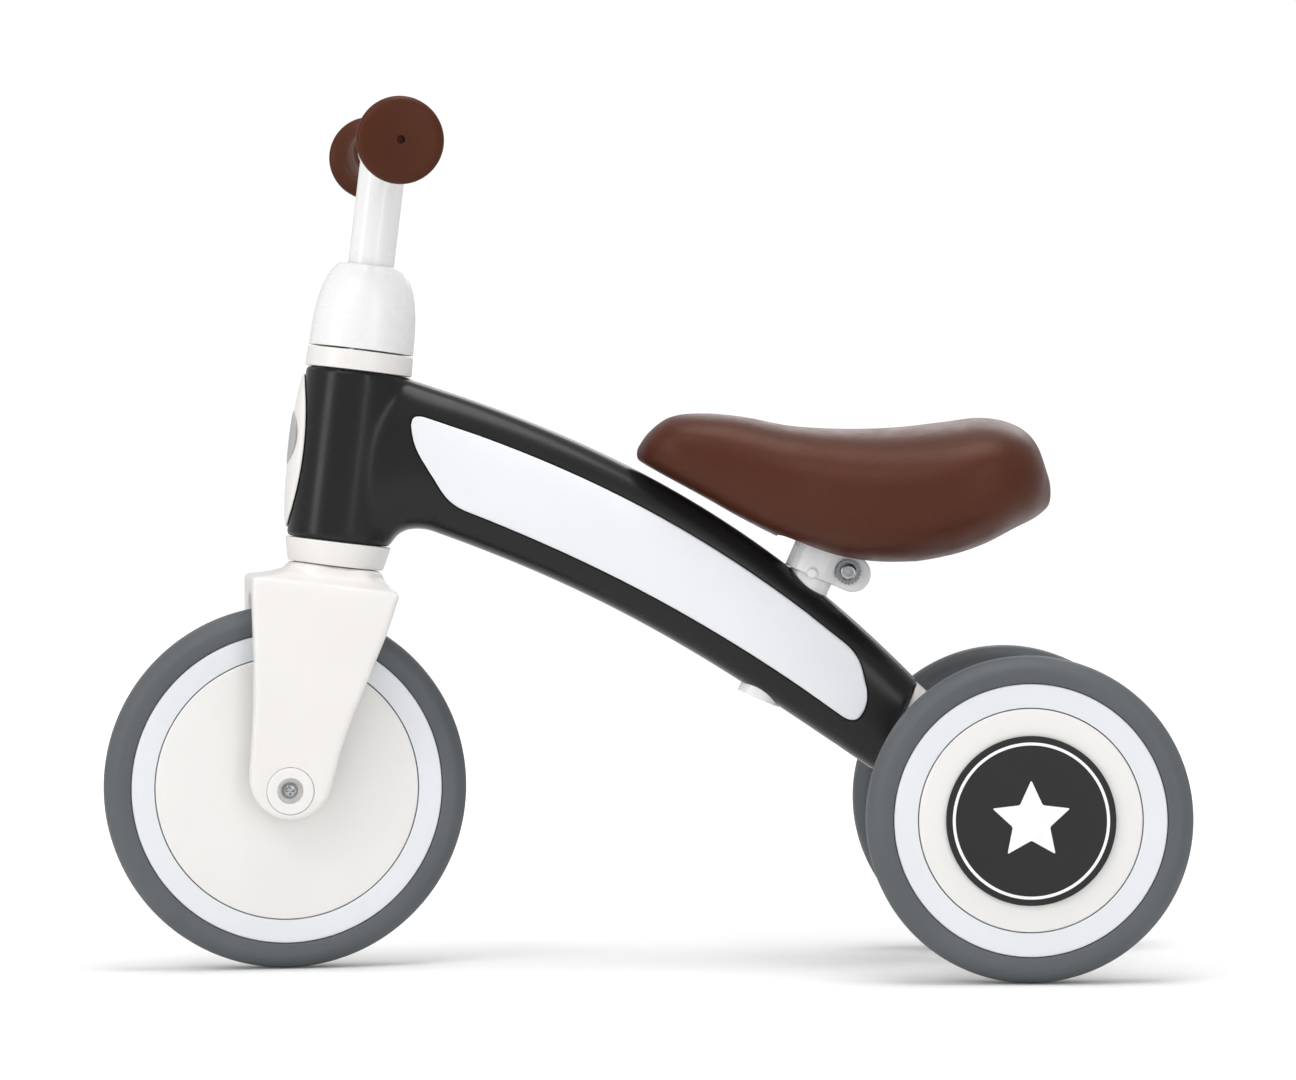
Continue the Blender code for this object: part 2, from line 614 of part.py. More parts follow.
def handlebar(parent):
    frame = STEERING
    top = frame @ Matrix.Translation((0, 0, HANDLEBAR_HEIGHT)) @ SIDE
    hole = lock_screw_hole("cut_lock_screw", LOCK_SCREW_RADIUS + GAP)
    collar = turned("stem_collar", collar_outline(), 24, frame, cover_white, parent)
    combined(collar, hole)
    steerer = tube("steerer_tube", STEERER_RADIUS, STEERER_RADIUS - STEERER_WALL,
                   CROWN_UNDERSIDE + 0.001, STEERER_TOP, frame, steel, parent)
    combined(steerer, hole)
    # the T is one weldment: the stem is open at the bottom, the cross bar at both ends
    bar = cylinder("handlebar", STEM_RADIUS, STEM_BOTTOM, HANDLEBAR_HEIGHT - 0.0015, frame,
                   steel_white, parent)
    cross = cylinder("guide_cross_bar", CROSSBAR_RADIUS, -CROSSBAR_HALF_LENGTH,
                     CROSSBAR_HALF_LENGTH, top)
    stem_bore = cylinder("cut_stem_bore", STEERER_RADIUS + GAP, STEM_BOTTOM - 0.002,
                         HANDLEBAR_HEIGHT - 0.004, frame)
    cross_bore = cylinder("cut_cross_bore", CROSSBAR_RADIUS - 0.002,
                          -CROSSBAR_HALF_LENGTH - 0.002, CROSSBAR_HALF_LENGTH + 0.002, top,
                          steps=16)
    combined(bar, cross, operation="UNION")
    combined(bar, stem_bore, cross_bore, hole)
    screw = STEERING @ Matrix.Translation((0, 0, LOCK_SCREW_HEIGHT)) @ FRONT
    cylinder("stem_lock_screw", LOCK_SCREW_RADIUS, -HEAD_RADIUS + 0.004,
             -STEERER_RADIUS + 0.002, screw, steel, parent, 12)


def grips(parent):
    """Mushroom-ended grips, closed but for a small vent hole in the end."""
    top = STEERING @ Matrix.Translation((0, 0, HANDLEBAR_HEIGHT)) @ SIDE
    end = HANDLEBAR_HALF_WIDTH
    start = end - GRIP_LENGTH
    bore = CROSSBAR_RADIUS + GAP
    vent = 0.0021
    flange = GRIP_FLANGE_RADIUS
    outline = [
        (bore, start),
        (GRIP_RADIUS - 0.002, start),
        (GRIP_RADIUS, start + 0.003),
        (GRIP_RADIUS, end - 0.0130),
        (flange - 0.003, end - 0.0075),
        (flange, end - 0.0045),
        (flange - 0.0025, end - 0.0010),
        (vent, end),
        (vent, end - 0.0037),
        (bore, end - 0.0037),
    ]
    for side, outward in (("left", 1), ("right", -1)):
        frame = top if outward > 0 else top @ Matrix.Rotation(pi, 4, "Y")
        turned("grip_" + side, outline, 24, frame, grip_rubber, parent)


# ---- Beam ---------------------------------------------------------------------------
def head_point(y, height):
    """Point of the YZ plane from its place across and along the steering axis."""
    point = HEAD @ Vector((0, y, height))
    return (point.y, point.z)


def beam_ends():
    """Control points of the beam's top and bottom curves."""
    curves = []
    starts = (head_point(HEAD_RADIUS - 0.0012, HEAD_TOP - 0.0006),
              head_point(HEAD_RADIUS + 0.0184, HEAD_BOTTOM + 0.0117))
    ends = (BEAM_END_TOP, BEAM_END_BOTTOM)
    for start, end, bow in zip(starts, ends, (BEAM_TOP_BOW, BEAM_BOTTOM_BOW)):
        finish_point = (REAR_AXLE.y + end[0], REAR_AXLE.z + end[1])
        inner = [(mixed(start[0], finish_point[0], across), mixed(start[1], finish_point[1], down))
                 for across, down in bow]
        curves.append([start, *inner, finish_point])
    return curves


def beam_point(along, across):
    """Point of the YZ plane: along from 0 to 1, across from -1, the bottom, to 1, the top."""
    top, bottom = beam_ends()
    low = bezier(bottom, along)
    high = bezier(top, along)
    return low + (high - low) * (across + 1) / 2


def beam_rings(half_width):
    """Sections of the beam, from inside the head tube, over the fillet under it, to the end."""
    reach = HEAD_RADIUS
    root = [  # across and above the head tube's lower end, then below its upper end
        (0.0110, 0.0050, 0.0060, 0.0045),
        (reach + 0.0002, 0.0015, reach - 0.0103, 0.0018),
        (reach + 0.0037, 0.0075, reach - 0.0068, 0.0014),
        (reach + 0.0107, 0.0112, reach - 0.0040, 0.0010),
    ]
    rings = []
    for low_y, rise, high_y, drop in root:
        low = head_point(low_y, HEAD_BOTTOM + rise)
        high = head_point(high_y, HEAD_TOP - drop)
        rings.append(ring(low, high, half_width, (BEAM_POWER, BEAM_POWER), BEAM_SIDES))
    for k in range(BEAM_SECTIONS):
        along = k / (BEAM_SECTIONS - 1)
        low = beam_point(along, -1)
        high = beam_point(along, 1)
        rings.append(ring(low, high, half_width, (BEAM_POWER, BEAM_POWER), BEAM_SIDES))
    return rings


def panel_outline():
    """Side panel in Y and Z: it keeps a margin to the beam's edges, with rounded corners."""
    def edge(along, upper):
        length = (beam_point(along, 1) - beam_point(along, -1)).length
        if upper:
            return beam_point(along, 1 - 2 * (0.018 - 0.008 * along**3) / length)
        margin = 0.0165 + 0.002 * (1 - along) ** 4 - 0.003 * along**6
        return beam_point(along, 2 * margin / length - 1)

    corner = PANEL_CORNER
    front, rear = PANEL_FRONT, PANEL_REAR
    stations = [mixed(front, rear, k / 8) for k in range(1, 8)]
    corners = [(*edge(front + 0.05, False), corner)]
    corners += [(*edge(along, False), 0) for along in stations[1:]]
    corners += [(*edge(rear, False), corner)]
    corners += [(*beam_point(rear + 0.008, 0.05), corner)]
    corners += [(*edge(rear - 0.04, True), corner)]
    corners += [(*edge(along, True), 0) for along in reversed(stations[:-1])]
    corners += [(*edge(front, True), corner), (*beam_point(front - 0.002, 0.1), corner)]
    return filleted(corners)


def main_frame():
    outline = panel_outline()
    floor = BEAM_HALF_WIDTH - PANEL_DEPTH
    body = turned("main_frame", [
        (0, HEAD_BOTTOM),
        (HEAD_RADIUS - 0.002, HEAD_BOTTOM),
        (HEAD_RADIUS, HEAD_BOTTOM + 0.002),
        (HEAD_RADIUS, HEAD_TOP - 0.002),
        (HEAD_RADIUS - 0.002, HEAD_TOP),
        (0, HEAD_TOP),
    ], 32, HEAD, frame_black)
    beam = lofted("guide_beam", beam_rings(BEAM_HALF_WIDTH), Matrix())
    combined(body, beam, operation="UNION")
    bore = cylinder("cut_head_bore", HEAD_BORE, HEAD_BOTTOM - 0.01, HEAD_TOP + 0.01, HEAD)
    seat = cylinder("cut_seat_bore", SLEEVE_RADIUS + GAP, -0.03, 0.12, SEAT)
    pocket_outline = grown(outline, GAP)
    left = extruded("cut_pocket_left", pocket_outline, floor, 0.05, SIDE)
    right = extruded("cut_pocket_right", pocket_outline, -0.05, -floor, SIDE)
    collar_room = cylinder("cut_collar_room", CLAMP_BORE + CLAMP_WALL + GAP, CLAMP_LOW - GAP,
                           0.12, SEAT, steps=24)
    combined(body, bore, seat, collar_room, left, right)
    combined(body, carrier_socket("cut_carrier_socket", GAP))
    for k in (0, 1):
        combined(body, carrier_screw_hole(k))


def side_panels():
    outline = panel_outline()
    low = BEAM_HALF_WIDTH - PANEL_DEPTH + GAP
    skin = lofted("guide_panel_skin", beam_rings(BEAM_HALF_WIDTH + PANEL_PROUD), Matrix())
    left = extruded("side_panel_left", outline, low, 0.05, SIDE, panel_white)
    right = extruded("side_panel_right", outline, -0.05, -low, SIDE, panel_white)
    for panel in (left, right):
        combined(panel, skin, operation="INTERSECT")


# ---- Head badge ---------------------------------------------------------------------
def badge_radius(angle, height):
    """Outer surface of the badge: a dome over the head tube's front."""
    across = angle / BADGE_HALF_ANGLE
    up = (height - badge_middle()) / BADGE_HALF_HEIGHT
    inside = max(0.0, 1 - across**2 - up**2)
    return HEAD_RADIUS + 0.0011 + (BADGE_THICKNESS - 0.0011) * inside**0.6


def badge_middle():
    return (HEAD_BOTTOM + HEAD_TOP) / 2


def oval_shell(name, half_angle, middle, half_height, surfaces, material):
    """Oval plate bent round the head tube's front, between two radius functions."""
    shape = bmesh.new()
    steps = 16
    rows = []
    levels = [(surfaces[0], share) for share in (0.0, 0.5, 0.85, 1.0)]
    levels += [(surfaces[1], share) for share in (1.0, 0.85, 0.5, 0.0)]
    for surface, share in levels:
        row = []
        for k in range(steps if share else 1):
            turn = 2 * pi * k / steps
            angle = half_angle * share * cos(turn)
            height = middle + half_height * share * sin(turn)
            radius = surface(angle, height)
            row.append(shape.verts.new((radius * sin(angle), -radius * cos(angle), height)))
        rows.append(row)
    for row, following in zip(rows, rows[1:]):
        for k in range(steps):
            j = (k + 1) % steps
            corners = [row[k % len(row)], row[j % len(row)],
                       following[j % len(following)], following[k % len(following)]]
            shape.faces.new(list(dict.fromkeys(corners)))
    placed(name, shape, HEAD, material)


def head_badge():
    def back(angle, height):
        return HEAD_RADIUS + 0.0005

    def emblem_back(angle, height):
        return badge_radius(angle, height) + 0.0004

    def emblem_front(angle, height):
        return badge_radius(angle, height) + 0.0010

    oval_shell("head_badge", BADGE_HALF_ANGLE, badge_middle(), BADGE_HALF_HEIGHT,
               (back, badge_radius), warm_white)
    oval_shell("badge_emblem", radians(29), badge_middle() + 0.006, 0.0145,
               (emblem_back, emblem_front), emblem_grey)


# ---- Head bearing cups --------------------------------------------------------------
def bearing_cups():
    """White cups above and below the head tube, each with a spigot inside it."""
    bore = STEERER_RADIUS + GAP
    spigot = HEAD_BORE - GAP
    depth = 0.010
    wide = HEAD_RADIUS + 0.0006
    low = CROWN_TOP + GAP
    lower = [
        (bore, low),
        (HEAD_RADIUS - 0.0021, low),
        (wide, HEAD_BOTTOM - GAP),
        (spigot, HEAD_BOTTOM - GAP),
        (spigot, HEAD_BOTTOM + depth),
        (bore, HEAD_BOTTOM + depth),
    ]
    turned("lower_bearing_cup", lower, 24, HEAD, warm_white)
    top = HEAD_TOP + GAP + UPPER_CUP_HEIGHT
    upper = [
        (bore, HEAD_TOP - depth),
        (spigot, HEAD_TOP - depth),
        (spigot, HEAD_TOP + GAP),
        (wide + 0.0002, HEAD_TOP + GAP),
        (wide - 0.0002, top),
        (bore, top),
    ]
    turned("upper_bearing_cup", upper, 24, HEAD, warm_white)


# ---- Seat tube and clamp ------------------------------------------------------------
def seat_frame():
    """Frame of the seat tube: its origin is the sleeve's lower end, its Z runs up the tube."""
    middle = beam_point(SEAT_STATION, 0)
    turn = Matrix.Rotation(-SEAT_TILT, 4, "X")
    start = Vector((0, middle.x, middle.y)) - turn @ Vector((0, 0, SLEEVE_BELOW))
    return Matrix.Translation(start) @ turn


def beam_top_at(y):
    """Height of the beam's upper edge at a place along the Y axis."""
    low, high = 0.0, 1.0
    for _ in range(40):
        middle = (low + high) / 2
        if beam_point(middle, 1).x < y:
            low = middle
        else:
            high = middle
    return beam_point(low, 1).y


def clamp_seat():
    """Distance up the seat tube at which the clamp's front leaves the beam."""
    front = -(SLEEVE_RADIUS + GAP + CLAMP_WALL)
    low, high = 0.0, 2 * SLEEVE_LENGTH
    for _ in range(40):
        middle = (low + high) / 2
        point = SEAT @ Vector((0, front, middle))
        if point.z < beam_top_at(point.y):
            low = middle
        else:
            high = middle
    return low


SEAT = seat_frame()
CLAMP_LOW = clamp_seat() - CLAMP_SINK
CLAMP_HIGH = CLAMP_LOW + CLAMP_HEIGHT
CLAMP_BORE = SLEEVE_RADIUS + GAP
CLAMP_MIDDLE = (CLAMP_LOW + CLAMP_HIGH) / 2
CLAMP_BOLT = SEAT @ Matrix.Translation((0, CLAMP_BOLT_REACH, CLAMP_MIDDLE)) @ SIDE


def seat_clamp():
    slit_end = CLAMP_BOLT_REACH + CLAMP_HEIGHT
    sleeve = tube("seat_tube_sleeve", SLEEVE_RADIUS, POST_RADIUS + GAP, 0, SLEEVE_LENGTH,
                  SEAT, steel_white, steps=24)
    slit_outline = [(0, CLAMP_LOW - 0.010), (slit_end, CLAMP_LOW - 0.010),
                    (slit_end, CLAMP_HIGH + 0.010), (0, CLAMP_HIGH + 0.010)]
    half_slit = CLAMP_SLIT / 2
    slit = extruded("cut_clamp_slit", slit_outline, -half_slit, half_slit, SEAT @ SIDE)
    combined(sleeve, slit)
    outer = CLAMP_BORE + CLAMP_WALL
    collar = cylinder("seat_clamp_collar", outer, CLAMP_LOW, CLAMP_HIGH, SEAT, cover_white,
                      steps=24)
    ear_half = CLAMP_HEIGHT / 2
    ears = [(0, CLAMP_LOW), *arc((CLAMP_BOLT_REACH + 0.0027, CLAMP_MIDDLE), ear_half, -90, 90, 10),
            (0, CLAMP_HIGH)]
    half = CLAMP_HALF_WIDTH
    combined(collar, extruded("guide_clamp_ears", ears, -half, half, SEAT @ SIDE),
             operation="UNION")
    bore = cylinder("cut_clamp_bore", CLAMP_BORE, 0.03, 0.12, SEAT, steps=24)
    bolt_hole = cylinder("cut_clamp_bolt", CLAMP_BOLT_RADIUS + GAP, -0.02, 0.02, CLAMP_BOLT,
                         steps=16)
    nut_pocket = cylinder("cut_nut_pocket", 0.0055 + GAP, -0.02, NUT_POCKET - half, CLAMP_BOLT,
                          steps=6)
    washer_seat = cylinder("cut_washer_seat", CLAMP_WASHER_RADIUS + GAP, half, 0.02, CLAMP_BOLT)
    combined(collar, bore, slit, bolt_hole, nut_pocket, washer_seat)
    washer_low = half + GAP
    washer_high = washer_low + 0.0012
    serrated_washer(washer_low, washer_high)
    head = washer_high + GAP
    nut_low = GAP - half - 0.0020
    bolt = turned("seat_clamp_bolt", [
        (0, nut_low - 0.001),
        (CLAMP_BOLT_RADIUS, nut_low - 0.001),
        (CLAMP_BOLT_RADIUS, head),
        (0.0046, head),
        (0.0046, head + 0.0022),
        (0.0036, head + 0.0034),
        (0, head + 0.0034),
    ], 16, CLAMP_BOLT, steel)
    combined(bolt, cylinder("cut_bolt_socket", 0.0017, head + 0.0012, head + 0.006,
                            CLAMP_BOLT, steps=6))
    nut = cylinder("seat_clamp_nut", 0.0055, nut_low, NUT_POCKET - half - GAP, CLAMP_BOLT,
                   steel, steps=6)
    combined(nut, bolt_hole)


def serrated_washer(low, high):
    """Lock washer with teeth round its rim."""
    teeth = 20
    outline = []
    for k in range(2 * teeth):
        radius = CLAMP_WASHER_RADIUS if k % 2 else CLAMP_WASHER_RADIUS - 0.0008
        angle = pi * k / teeth
        outline.append((radius * cos(angle), radius * sin(angle)))
    washer = extruded("seat_clamp_washer", outline, low, high, CLAMP_BOLT, dark_steel)
    hole = cylinder("cut_washer_hole", CLAMP_BOLT_RADIUS + GAP, low - 0.002, high + 0.002,
                    CLAMP_BOLT, steps=16)
    combined(washer, hole)


# ---- Rear axle carrier --------------------------------------------------------------
def beam_end_frame():
    """Frame at the middle of the beam's end: X out along the beam, Y up its end face."""
    top = beam_point(1, 1)
    bottom = beam_point(1, -1)
    up = (top - bottom).normalized()
    out = Vector((up.y, -up.x))
    middle = (top + bottom) / 2
    return middle, out, up, (top - bottom).length / 2


def carrier_outline(grow=0.0):
    """Spigot inside the beam's end, in Y and Z."""
    middle, out, up, half = beam_end_frame()
    high = half * 0.52 + grow
    deep = -CARRIER_SPIGOT - grow
    corners = ((deep, -high), (0.02, -high), (0.02, high), (deep, high))
    return [middle + out * x + up * y for x, y in corners]


def carrier_socket(name, grow):
    width = SPIGOT_HALF_WIDTH + grow
    return extruded(name, carrier_outline(grow), -width, width, SIDE)


def carrier_screw_frame(k):
    """Frame of one of the two screws that come up from below into the spigot."""
    up = beam_end_frame()[2]
    place = beam_point(0.965 - 0.05 * k, -1)
    turn = Matrix.Rotation(-atan2(up.x, up.y), 4, "X")
    return Matrix.Translation((0, place.x, place.y)) @ turn


def carrier_screw_hole(k, grow=GAP):
    head = SCREW_HEAD_RADIUS + grow
    shank = AXLE_SCREW_RADIUS + grow
    outline = [(0, -0.012), (head, -0.012), (head, 0.0060 + grow), (shank, 0.0060 + grow),
               (shank, 0.0220 + grow), (0, 0.0220 + grow)]
    return turned(f"cut_carrier_screw_{k + 1}", outline, 12, carrier_screw_frame(k))


def rear_axle_carrier():
    """White arm from the beam's end down to a tube that carries the rear axle."""
    middle, out, up, half = beam_end_frame()
    axle = Vector((REAR_AXLE.y, REAR_AXLE.z))
    edge = half - CARRIER_INSET
    start = middle + out * GAP
    # the arm's side: the beam's end face, then lines that meet the axle tube at a tangent
    outline = [start + up * edge, start - up * edge]
    for corner, sign in ((start - up * edge, 1), (start + up * edge, -1)):
        to_axle = axle - corner
        lean = asin(AXLE_TUBE_RADIUS / to_axle.length)
        length = sqrt(to_axle.length**2 - AXLE_TUBE_RADIUS**2)
        direction = Matrix.Rotation(-sign * lean, 2) @ to_axle.normalized()
        outline.append(corner + direction * length)
    width = CARRIER_HALF_WIDTH
    body = extruded("rear_axle_carrier", outline, -width, width, SIDE, warm_white)
    across = Matrix.Translation(REAR_AXLE) @ SIDE
    tube_end = REAR_HALF_TRACK + REAR_HUB_INNER - GAP - BUSH_FLANGE - GAP
    axle_tube = cylinder("guide_axle_tube", AXLE_TUBE_RADIUS, -tube_end, tube_end, across,
                         steps=28)
    combined(body, axle_tube, carrier_socket("guide_carrier_spigot", 0.0),
             operation="UNION")
    hole = cylinder("cut_axle_hole", REAR_AXLE_RADIUS + GAP, -0.1, 0.1, across, steps=16)
    combined(body, hole)
    for k in (0, 1):
        combined(body, carrier_screw_hole(k))
        outline = [(0, 0.0030), (SCREW_HEAD_RADIUS, 0.0030), (SCREW_HEAD_RADIUS, 0.0060),
                   (AXLE_SCREW_RADIUS, 0.0060), (AXLE_SCREW_RADIUS, 0.0220), (0, 0.0220)]
        turned(f"carrier_screw_{k + 1}", outline, 12, carrier_screw_frame(k), steel)


# ---- Saddle -------------------------------------------------------------------------
# share of the length from nose to tail, bottom and top above the seat point, half width
SADDLE_STATIONS = [
    (0.000, 0.0345, 0.0395, 0.0060),
    (0.028, 0.0307, 0.0482, 0.0200),
    (0.080, 0.0244, 0.0564, 0.0300),
    (0.157, 0.0153, 0.0585, 0.0350),
    (0.260, 0.0027, 0.0566, 0.0390),
    (0.370, -0.0090, 0.0519, 0.0450),
    (0.495, -0.0180, 0.0501, 0.0550),
    (0.625, -0.0206, 0.0506, 0.0640),
    (0.750, -0.0170, 0.0535, 0.0690),
    (0.838, -0.0110, 0.0555, 0.0680),
    (0.915, -0.0025, 0.0519, 0.0610),
    (0.966, 0.0035, 0.0418, 0.0470),
    (1.000, 0.0095, 0.0215, 0.0220),
]


def height_over_beam():
    """Distance up the seat tube at which the saddle has its clearance over the beam."""
    height = SLEEVE_LENGTH
    for _ in range(20):
        point = SEAT @ Vector((0, 0, height))
        room = min(point.z + bottom
                   - beam_top_at(point.y + mixed(-SADDLE_FRONT, SADDLE_BACK, share))
                   for share, bottom, _, _ in SADDLE_STATIONS)
        height += SADDLE_CLEARANCE - room
    return height


SEAT_HEIGHT = max(SLEEVE_LENGTH + SEAT_ABOVE_SLEEVE, height_over_beam())
SEAT_POINT = SEAT @ Vector((0, 0, SEAT_HEIGHT))


def saddle(parent):
    """Soft top with a hollow underneath for the base and the clamp."""
    crown = max(top for _, _, top, _ in SADDLE_STATIONS)
    widest = max(width for *_, width in SADDLE_STATIONS)
    rings = []
    for share, bottom, top, width in SADDLE_STATIONS:
        y = SEAT_POINT.y + mixed(-SADDLE_FRONT, SADDLE_BACK, share)
        low = (y, SEAT_POINT.z + bottom)
        high = (y, SEAT_POINT.z + top * SADDLE_CROWN / crown)
        rings.append(ring(low, high, width * SADDLE_HALF_WIDTH / widest, (3.2, 2.3), 20))
    body = lofted("saddle", rings, Matrix(), saddle_skin, parent)
    width = SADDLE_HOLLOW_HALF_WIDTH
    front = SEAT_POINT.y - SADDLE_HOLLOW_FRONT
    back = SEAT_POINT.y + SADDLE_HOLLOW_BACK
    hollow = filleted([(-width, front, 0.012), (width, front, 0.012),
                       (width, back, 0.012), (-width, back, 0.012)], 3)
    roof = SEAT_POINT.z + SADDLE_HOLLOW_ROOF
    low = SEAT_POINT.z - 0.060
    combined(body, extruded("cut_saddle_hollow", hollow, low, roof, Matrix()))
    plate_high = roof - GAP
    plate_low = plate_high - BASE_THICKNESS
    plate = extruded("saddle_base", grown(hollow, -0.0010), plate_low, plate_high, Matrix(),
                     base_black, parent)
    boss_low = SLEEVE_LENGTH + 0.0037
    boss = cylinder("guide_base_boss", POST_RADIUS + 0.0032, boss_low, SEAT_HEIGHT + 0.0297,
                    SEAT)
    above = extruded("cut_boss_top", grown(hollow, 0.010), plate_high - TRIM, plate_high + 0.05,
                     Matrix())
    post_top = SEAT_HEIGHT + 0.0120
    socket = cylinder("cut_post_socket", POST_RADIUS + GAP, 0.02, post_top + GAP, SEAT)
    combined(plate, boss, operation="UNION")
    combined(plate, above, socket)
    tube("seat_post", POST_RADIUS, POST_RADIUS - POST_WALL, 0.022, post_top, SEAT, steel,
         parent)
    spots = ((-0.019, SEAT_POINT.y - 0.021), (0.019, SEAT_POINT.y + 0.034))
    for k, (x, y) in enumerate(spots):
        frame = Matrix.Translation((x, y, plate_low))
        hole = cylinder(f"cut_saddle_screw_{k + 1}", AXLE_SCREW_RADIUS + GAP, -0.01, 0.0160,
                        frame, steps=12)
        combined(plate, hole)
        combined(body, hole)
        outline = [(0, -0.0028), (SCREW_HEAD_RADIUS, -0.0028), (SCREW_HEAD_RADIUS, -GAP),
                   (AXLE_SCREW_RADIUS, -GAP), (AXLE_SCREW_RADIUS, 0.0155), (0, 0.0155)]
        turned(f"saddle_screw_{k + 1}", outline, 12, frame, steel, parent)


# ---- The trike ----------------------------------------------------------------------
for old in list(bpy.data.objects):
    bpy.data.objects.remove(old)

frame_black = finish("frame_black", (0.030, 0.031, 0.031), 0.22)
warm_white = finish("warm_white", (0.86, 0.84, 0.81), 0.35)
cover_white = finish("cover_white", (0.87, 0.86, 0.86), 0.30)
steel_white = finish("steel_white", (0.87, 0.86, 0.86), 0.30)
panel_white = finish("panel_white", (0.82, 0.84, 0.87), 0.35)
rim_plastic = finish("rim_plastic", (0.83, 0.85, 0.88), 0.40)
disc_plastic = finish("disc_plastic", (0.86, 0.85, 0.83), 0.40)
tyre_rubber = finish("tyre_rubber", (0.115, 0.130, 0.139), 0.70)
saddle_skin = finish("saddle_skin", (0.093, 0.031, 0.018), 0.45)
grip_rubber = finish("grip_rubber", (0.090, 0.033, 0.019), 0.55)
label_dark = finish("label_dark", (0.032, 0.032, 0.032), 0.50)
emblem_grey = finish("emblem_grey", (0.42, 0.42, 0.42), 0.45)
base_black = finish("base_black", (0.03, 0.03, 0.03), 0.55)
nylon = finish("nylon", (0.75, 0.75, 0.73), 0.45)
steel = finish("steel", (0.62, 0.63, 0.64), 0.30, 1.0)
dark_steel = finish("dark_steel", (0.20, 0.21, 0.22), 0.40, 1.0)

main_frame()
side_panels()
head_badge()
bearing_cups()
seat_clamp()
rear_axle_carrier()
rear_axle()

steering_axis = pivot("steering_axis", STEERING)
fork(steering_axis)
fork_fittings(steering_axis)
handlebar(steering_axis)
grips(steering_axis)

front_wheel(pivot("front_wheel_axis", FRONT_WHEEL))

for wheel_side, side_sign in (("left", 1), ("right", -1)):
    wheel_centre = REAR_AXLE + Vector((side_sign * REAR_HALF_TRACK, 0, 0))
    wheel_pivot = pivot(f"rear_{wheel_side}_axis", Matrix.Translation(wheel_centre) @ SIDE)
    rear_wheel(wheel_side, side_sign, wheel_pivot)

saddle(pivot("seat_slide", SEAT))
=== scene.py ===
import json
from math import copysign, cos, pi, radians, sin

import bmesh
import bpy
from mathutils import Matrix, Vector


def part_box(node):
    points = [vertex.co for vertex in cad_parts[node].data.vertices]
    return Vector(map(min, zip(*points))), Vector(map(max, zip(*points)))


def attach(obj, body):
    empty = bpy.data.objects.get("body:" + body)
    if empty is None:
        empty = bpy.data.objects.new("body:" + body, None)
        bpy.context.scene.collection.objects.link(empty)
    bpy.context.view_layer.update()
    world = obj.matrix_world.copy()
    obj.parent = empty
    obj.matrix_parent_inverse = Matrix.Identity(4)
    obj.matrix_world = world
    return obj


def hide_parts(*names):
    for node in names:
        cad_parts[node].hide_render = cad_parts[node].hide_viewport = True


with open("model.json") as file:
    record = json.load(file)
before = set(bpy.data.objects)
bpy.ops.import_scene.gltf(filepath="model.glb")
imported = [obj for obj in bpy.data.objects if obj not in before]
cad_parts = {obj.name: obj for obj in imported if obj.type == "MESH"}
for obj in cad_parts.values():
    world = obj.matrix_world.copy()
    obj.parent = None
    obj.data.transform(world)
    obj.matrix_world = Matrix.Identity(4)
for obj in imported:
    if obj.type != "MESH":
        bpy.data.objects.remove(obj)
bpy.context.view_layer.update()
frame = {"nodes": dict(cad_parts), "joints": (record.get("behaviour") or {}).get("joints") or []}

NODES = frame["nodes"]
JOINTS = {joint["name"]: joint for joint in frame["joints"]}
X_AXIS = Vector((1, 0, 0))
GAP = 0.0003                       # left between pieces that touch


# ---- Places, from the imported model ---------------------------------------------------
def facing(origin, z, x):
    """Frame at a point whose Z runs along one direction, and whose X is near another."""
    z = Vector(z).normalized()
    y = z.cross(Vector(x)).normalized()
    x = y.cross(z)
    columns = Matrix((x, y, z)).transposed().to_4x4()
    return Matrix.Translation(Vector(origin)) @ columns


def reach(node, place):
    """Lowest and highest point of a node along a frame's Z, and its largest radius."""
    turn = place.inverted()
    points = [turn @ vertex.co for vertex in NODES[node].data.vertices]
    heights = [point.z for point in points]
    return min(heights), max(heights), max(point.xy.length for point in points)


def inside_flats(radius, sides):
    """Radius to the flats of a solid's many-sided circle, from that of its corners."""
    return radius * cos(pi / sides)


STEER = JOINTS["steering_turn"]
FRONT_SPIN = JOINTS["front_wheel_spin"]
HEAD = facing(STEER["pos_m"], STEER["axis"], X_AXIS)
STEERING = facing(STEER["pos_m"], STEER["axis"], FRONT_SPIN["axis"])
FRONT_WHEEL = facing(FRONT_SPIN["pos_m"], FRONT_SPIN["axis"], (0, -1, 0))
FRONT_WHEEL_FAR = FRONT_WHEEL @ Matrix.Rotation(pi, 4, "X")
REAR_WHEEL = {
    "left": facing(JOINTS["rear_left_spin"]["pos_m"], X_AXIS, (0, -1, 0)),
    "right": facing(JOINTS["rear_right_spin"]["pos_m"], -X_AXIS, (0, -1, 0)),
}
REAR_AXLE = Vector((0, *JOINTS["rear_left_spin"]["pos_m"][1:]))
SEAT_UP = Vector(JOINTS["seat_height"]["axis"])


def middle_of(node):
    """Middle of a node's box."""
    low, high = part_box(node)
    return (low + high) / 2


SEAT = facing(middle_of("seat_tube_sleeve"), SEAT_UP, X_AXIS)
# SIDE takes a shape drawn in X and Y, and raised in Z, to Y and Z, running along X
SIDE = Matrix(((0, 0, 1, 0), (1, 0, 0, 0), (0, 1, 0, 0), (0, 0, 0, 1)))


# ---- Curves and outlines -------------------------------------------------------------
def mixed(a, b, share):
    """Value a share of the way from a to b."""
    return a + (b - a) * share


def bezier(points, t):
    """Point at t, from 0 to 1, of the cubic curve that four points steer."""
    a, b, c, d = (Vector(p) for p in points)
    s = 1 - t
    return a * s**3 + b * 3 * s * s * t + c * 3 * s * t * t + d * t**3


